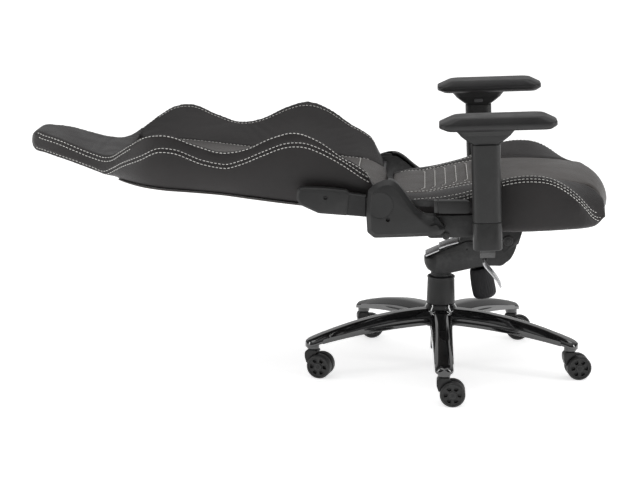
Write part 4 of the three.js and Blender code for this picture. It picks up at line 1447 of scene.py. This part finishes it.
def make_recline_lever():
    """A flat steel arm from the recline axis, on the sitter's right, with a moulded grip."""
    line = [(-9, -7), (-6, 9), (112, 1), (128, 1), (128, -15), (106, -15)]
    arm = paint(prism("arm", line, (-261, -257.5), SEAT, 0.6), STEEL)
    boolean(arm, rod("eye", 5.4, (-270, -250), (0, 0), SEAT, 0))
    outline = rounded([(133, -27.5), (202, -29), (209, -23), (209, -8), (203, 0.5), (133, 2.5)], 5, 4)
    grip = paint(prism("grip", outline, (-284, -259), SEAT, 3), PLASTIC)
    outline = rounded(rectangle(124, 133.4, -26, 2.5), 2, 3)
    end = paint(prism("end", outline, (-281, -262), SEAT, 1.5), HOUSING)
    whole = joined("recline_lever_moulded", grip, arm, end)
    finish_piece(whole, "recline_lever", ["recline_lever"], 35)


ARM_X = 245
ARM_Y = 315
BUTTON_Z = 150


def rounded_box(low, high, half, radius):
    return rounded(rectangle(low, high, -half, half), radius, 8)


def stack(name, levels, place):
    """A body up local Z through (height, rear, front, half width, corner radius) levels."""
    rings = [[(x, y, z) for x, y in rounded_box(low, high, half, r)] for z, low, high, half, r in levels]
    return loft(name, rings, place)


def button_loft(name, half_long, half_high, steps, place):
    """An upright oval across the post through (Y, scale) steps, on the side that faces the sitter."""
    oval = rounded_box(-half_long, half_long, half_high, half_high - 0.1)
    return loft(name, [[(x * share, y, BUTTON_Z + z * share) for x, z in oval] for y, share in steps], place)


def make_armrest(tag, side):
    """The post's two sleeves with the core's bore through them, the button, the carriage and the pad."""
    place = SEAT @ Matrix.Translation((ARM_X, side * ARM_Y, 0))
    core = block("core", (-17.4, -9.4, -120), (17.4, 9.4, 60.4), place)
    lower = stack(f"arm_lower_sleeve_{tag}_moulded", [
        (-107, -31.5, 31.5, 20, 18), (-105.4, -33.5, 33.5, 22, 20), (-44.2, -33.5, 33.5, 22, 20),
        (-42.4, -32.4, 32.4, 21, 19),
    ], place)
    boolean(lower, copy_of(core, "core_again", Matrix.Identity(4)))
    paint(lower, PLASTIC)
    finish_piece(lower, "seat", [f"arm_lower_sleeve_{tag}"], 30)
    upper = stack(f"arm_upper_sleeve_{tag}_moulded", [
        (-41.6, -31.9, 31.9, 20.9, 19), (-39.8, -33, 33, 22, 20), (137, -33.6, 33.6, 22, 20),
        (139.4, -31.8, 31.8, 20, 18), (140, -33.4, 33.4, 18.6, 16), (146, -41.5, 41.5, 19.6, 14),
        (153, -50, 50, 21, 12), (159.4, -57.4, 57.4, 22, 12), (160, -57.4, 57.4, 22, 12),
    ], place)
    boolean(upper, core)
    boolean(upper, button_loft("recess", 11.4, 4.4, [(-side * 14, 1), (-side * 26, 1)], place))
    boolean(upper, rod("bore", 8.4, (138, 162), (0, 0), place, 0, "Z"))
    paint(upper, PLASTIC)
    finish_piece(upper, f"arm_{tag}", [f"arm_upper_sleeve_{tag}"], 30)
    steps = [(-side * y, share) for y, share in ((18, 1), (23.6, 1), (24.5, 0.9))]
    button = paint(button_loft(f"arm_button_{tag}_oval", 11, 4, steps, place), BUTTON)
    finish_piece(button, f"arm_button_{tag}", [f"arm_button_{tag}"], 35)
    carriage = stack(f"arm_carriage_{tag}_moulded", [
        (160.6, -57.6, 57.6, 27, 14), (165, -61, 61, 29.5, 15), (171.6, -66.4, 66.4, 33.6, 16),
        (172.6, -66, 66, 33.4, 16),
    ], place)
    slot = stack("slot", [(158, -52, 52, 26.4, 26), (165.3, -52, 52, 26.4, 26)], place)
    paint(boolean(carriage, slot), PLASTIC)
    finish_piece(carriage, f"arm_carriage_{tag}", [f"arm_carriage_{tag}"], 30)
    pad = stack(f"arm_pad_{tag}_foam", [
        (173, -88, 149, 38, 20), (174.2, -90.5, 151.5, 40.5, 22), (180, -103.5, 160.5, 46.5, 27),
        (182, -105, 162, 47.5, 28), (189, -104.6, 161.6, 47.5, 28), (191, -102.6, 160, 46.8, 28),
        (201.6, -78, 139, 42.6, 25), (203.4, -73, 135, 41, 24), (204.4, -66, 128, 36, 20),
        (204.8, -40, 100, 18, 12),
    ], place)
    paint(pad, PAD_SKIN)
    finish_piece(pad, f"arm_pad_{tag}", [f"arm_pad_{tag}"], 50)


# -------- rear panel


def make_back_panel():
    """The upholstered board over the back's rear, with a piped edge."""
    top = stations(BACK_TOP - 12, BACK_TOP, 3)
    heights = [*stations(BACK_LOW, -1, 3), *stations(10, BACK_TOP - 16, 11), *top]
    rings = []
    for z in heights:
        end = min(z - BACK_LOW, BACK_TOP - z)
        puff = 8.5 * math.sqrt(min(1, (end + 0.2) / 14))
        half = HALF(z) - 27
        across = np.linspace(-1, 1, 41)
        rear = [(-31 - puff * (1 - abs(s) ** 10) ** 0.5, half * s) for s in across]
        front = [(-30.8, half * s) for s in across[::-1]]
        rings.append([(w, y, z) for w, y in rear + front])
    panel = paint(loft("panel", rings, BACK), LEATHER_SIDE)
    edge = [(-34, HALF(z) - 28, z) for z in stations(-11, BACK_TOP - 2, 8)]
    edge += [(-34, -y, z) for _, y, z in reversed(edge)]
    edge.append(edge[0])
    piping = paint(tube("piping", edge, 1.9, BACK, 10), LEATHER)
    whole = joined("back_panel_cover", panel, piping)
    finish_piece(whole, "back", ["back_panel"], 50)


# -------- rest of the script

make_camera()
make_floor()
dress_cad_nodes()
upholstery = make_upholstery()
stitch_wings(upholstery)
stitch_bolsters(upholstery)
stitch_middles(upholstery)
make_back_panel()
make_star_base()
make_casters()
make_column()
make_housing()
make_tension_knob()
make_mechanism_levers()
make_recline_lever()
for tag, side in SIDES.items():
    make_hinge_cover(tag, side)
    make_seat_rail(tag, side)
    make_arm_cover(tag, side)
    make_armrest(tag, side)
make_lights()
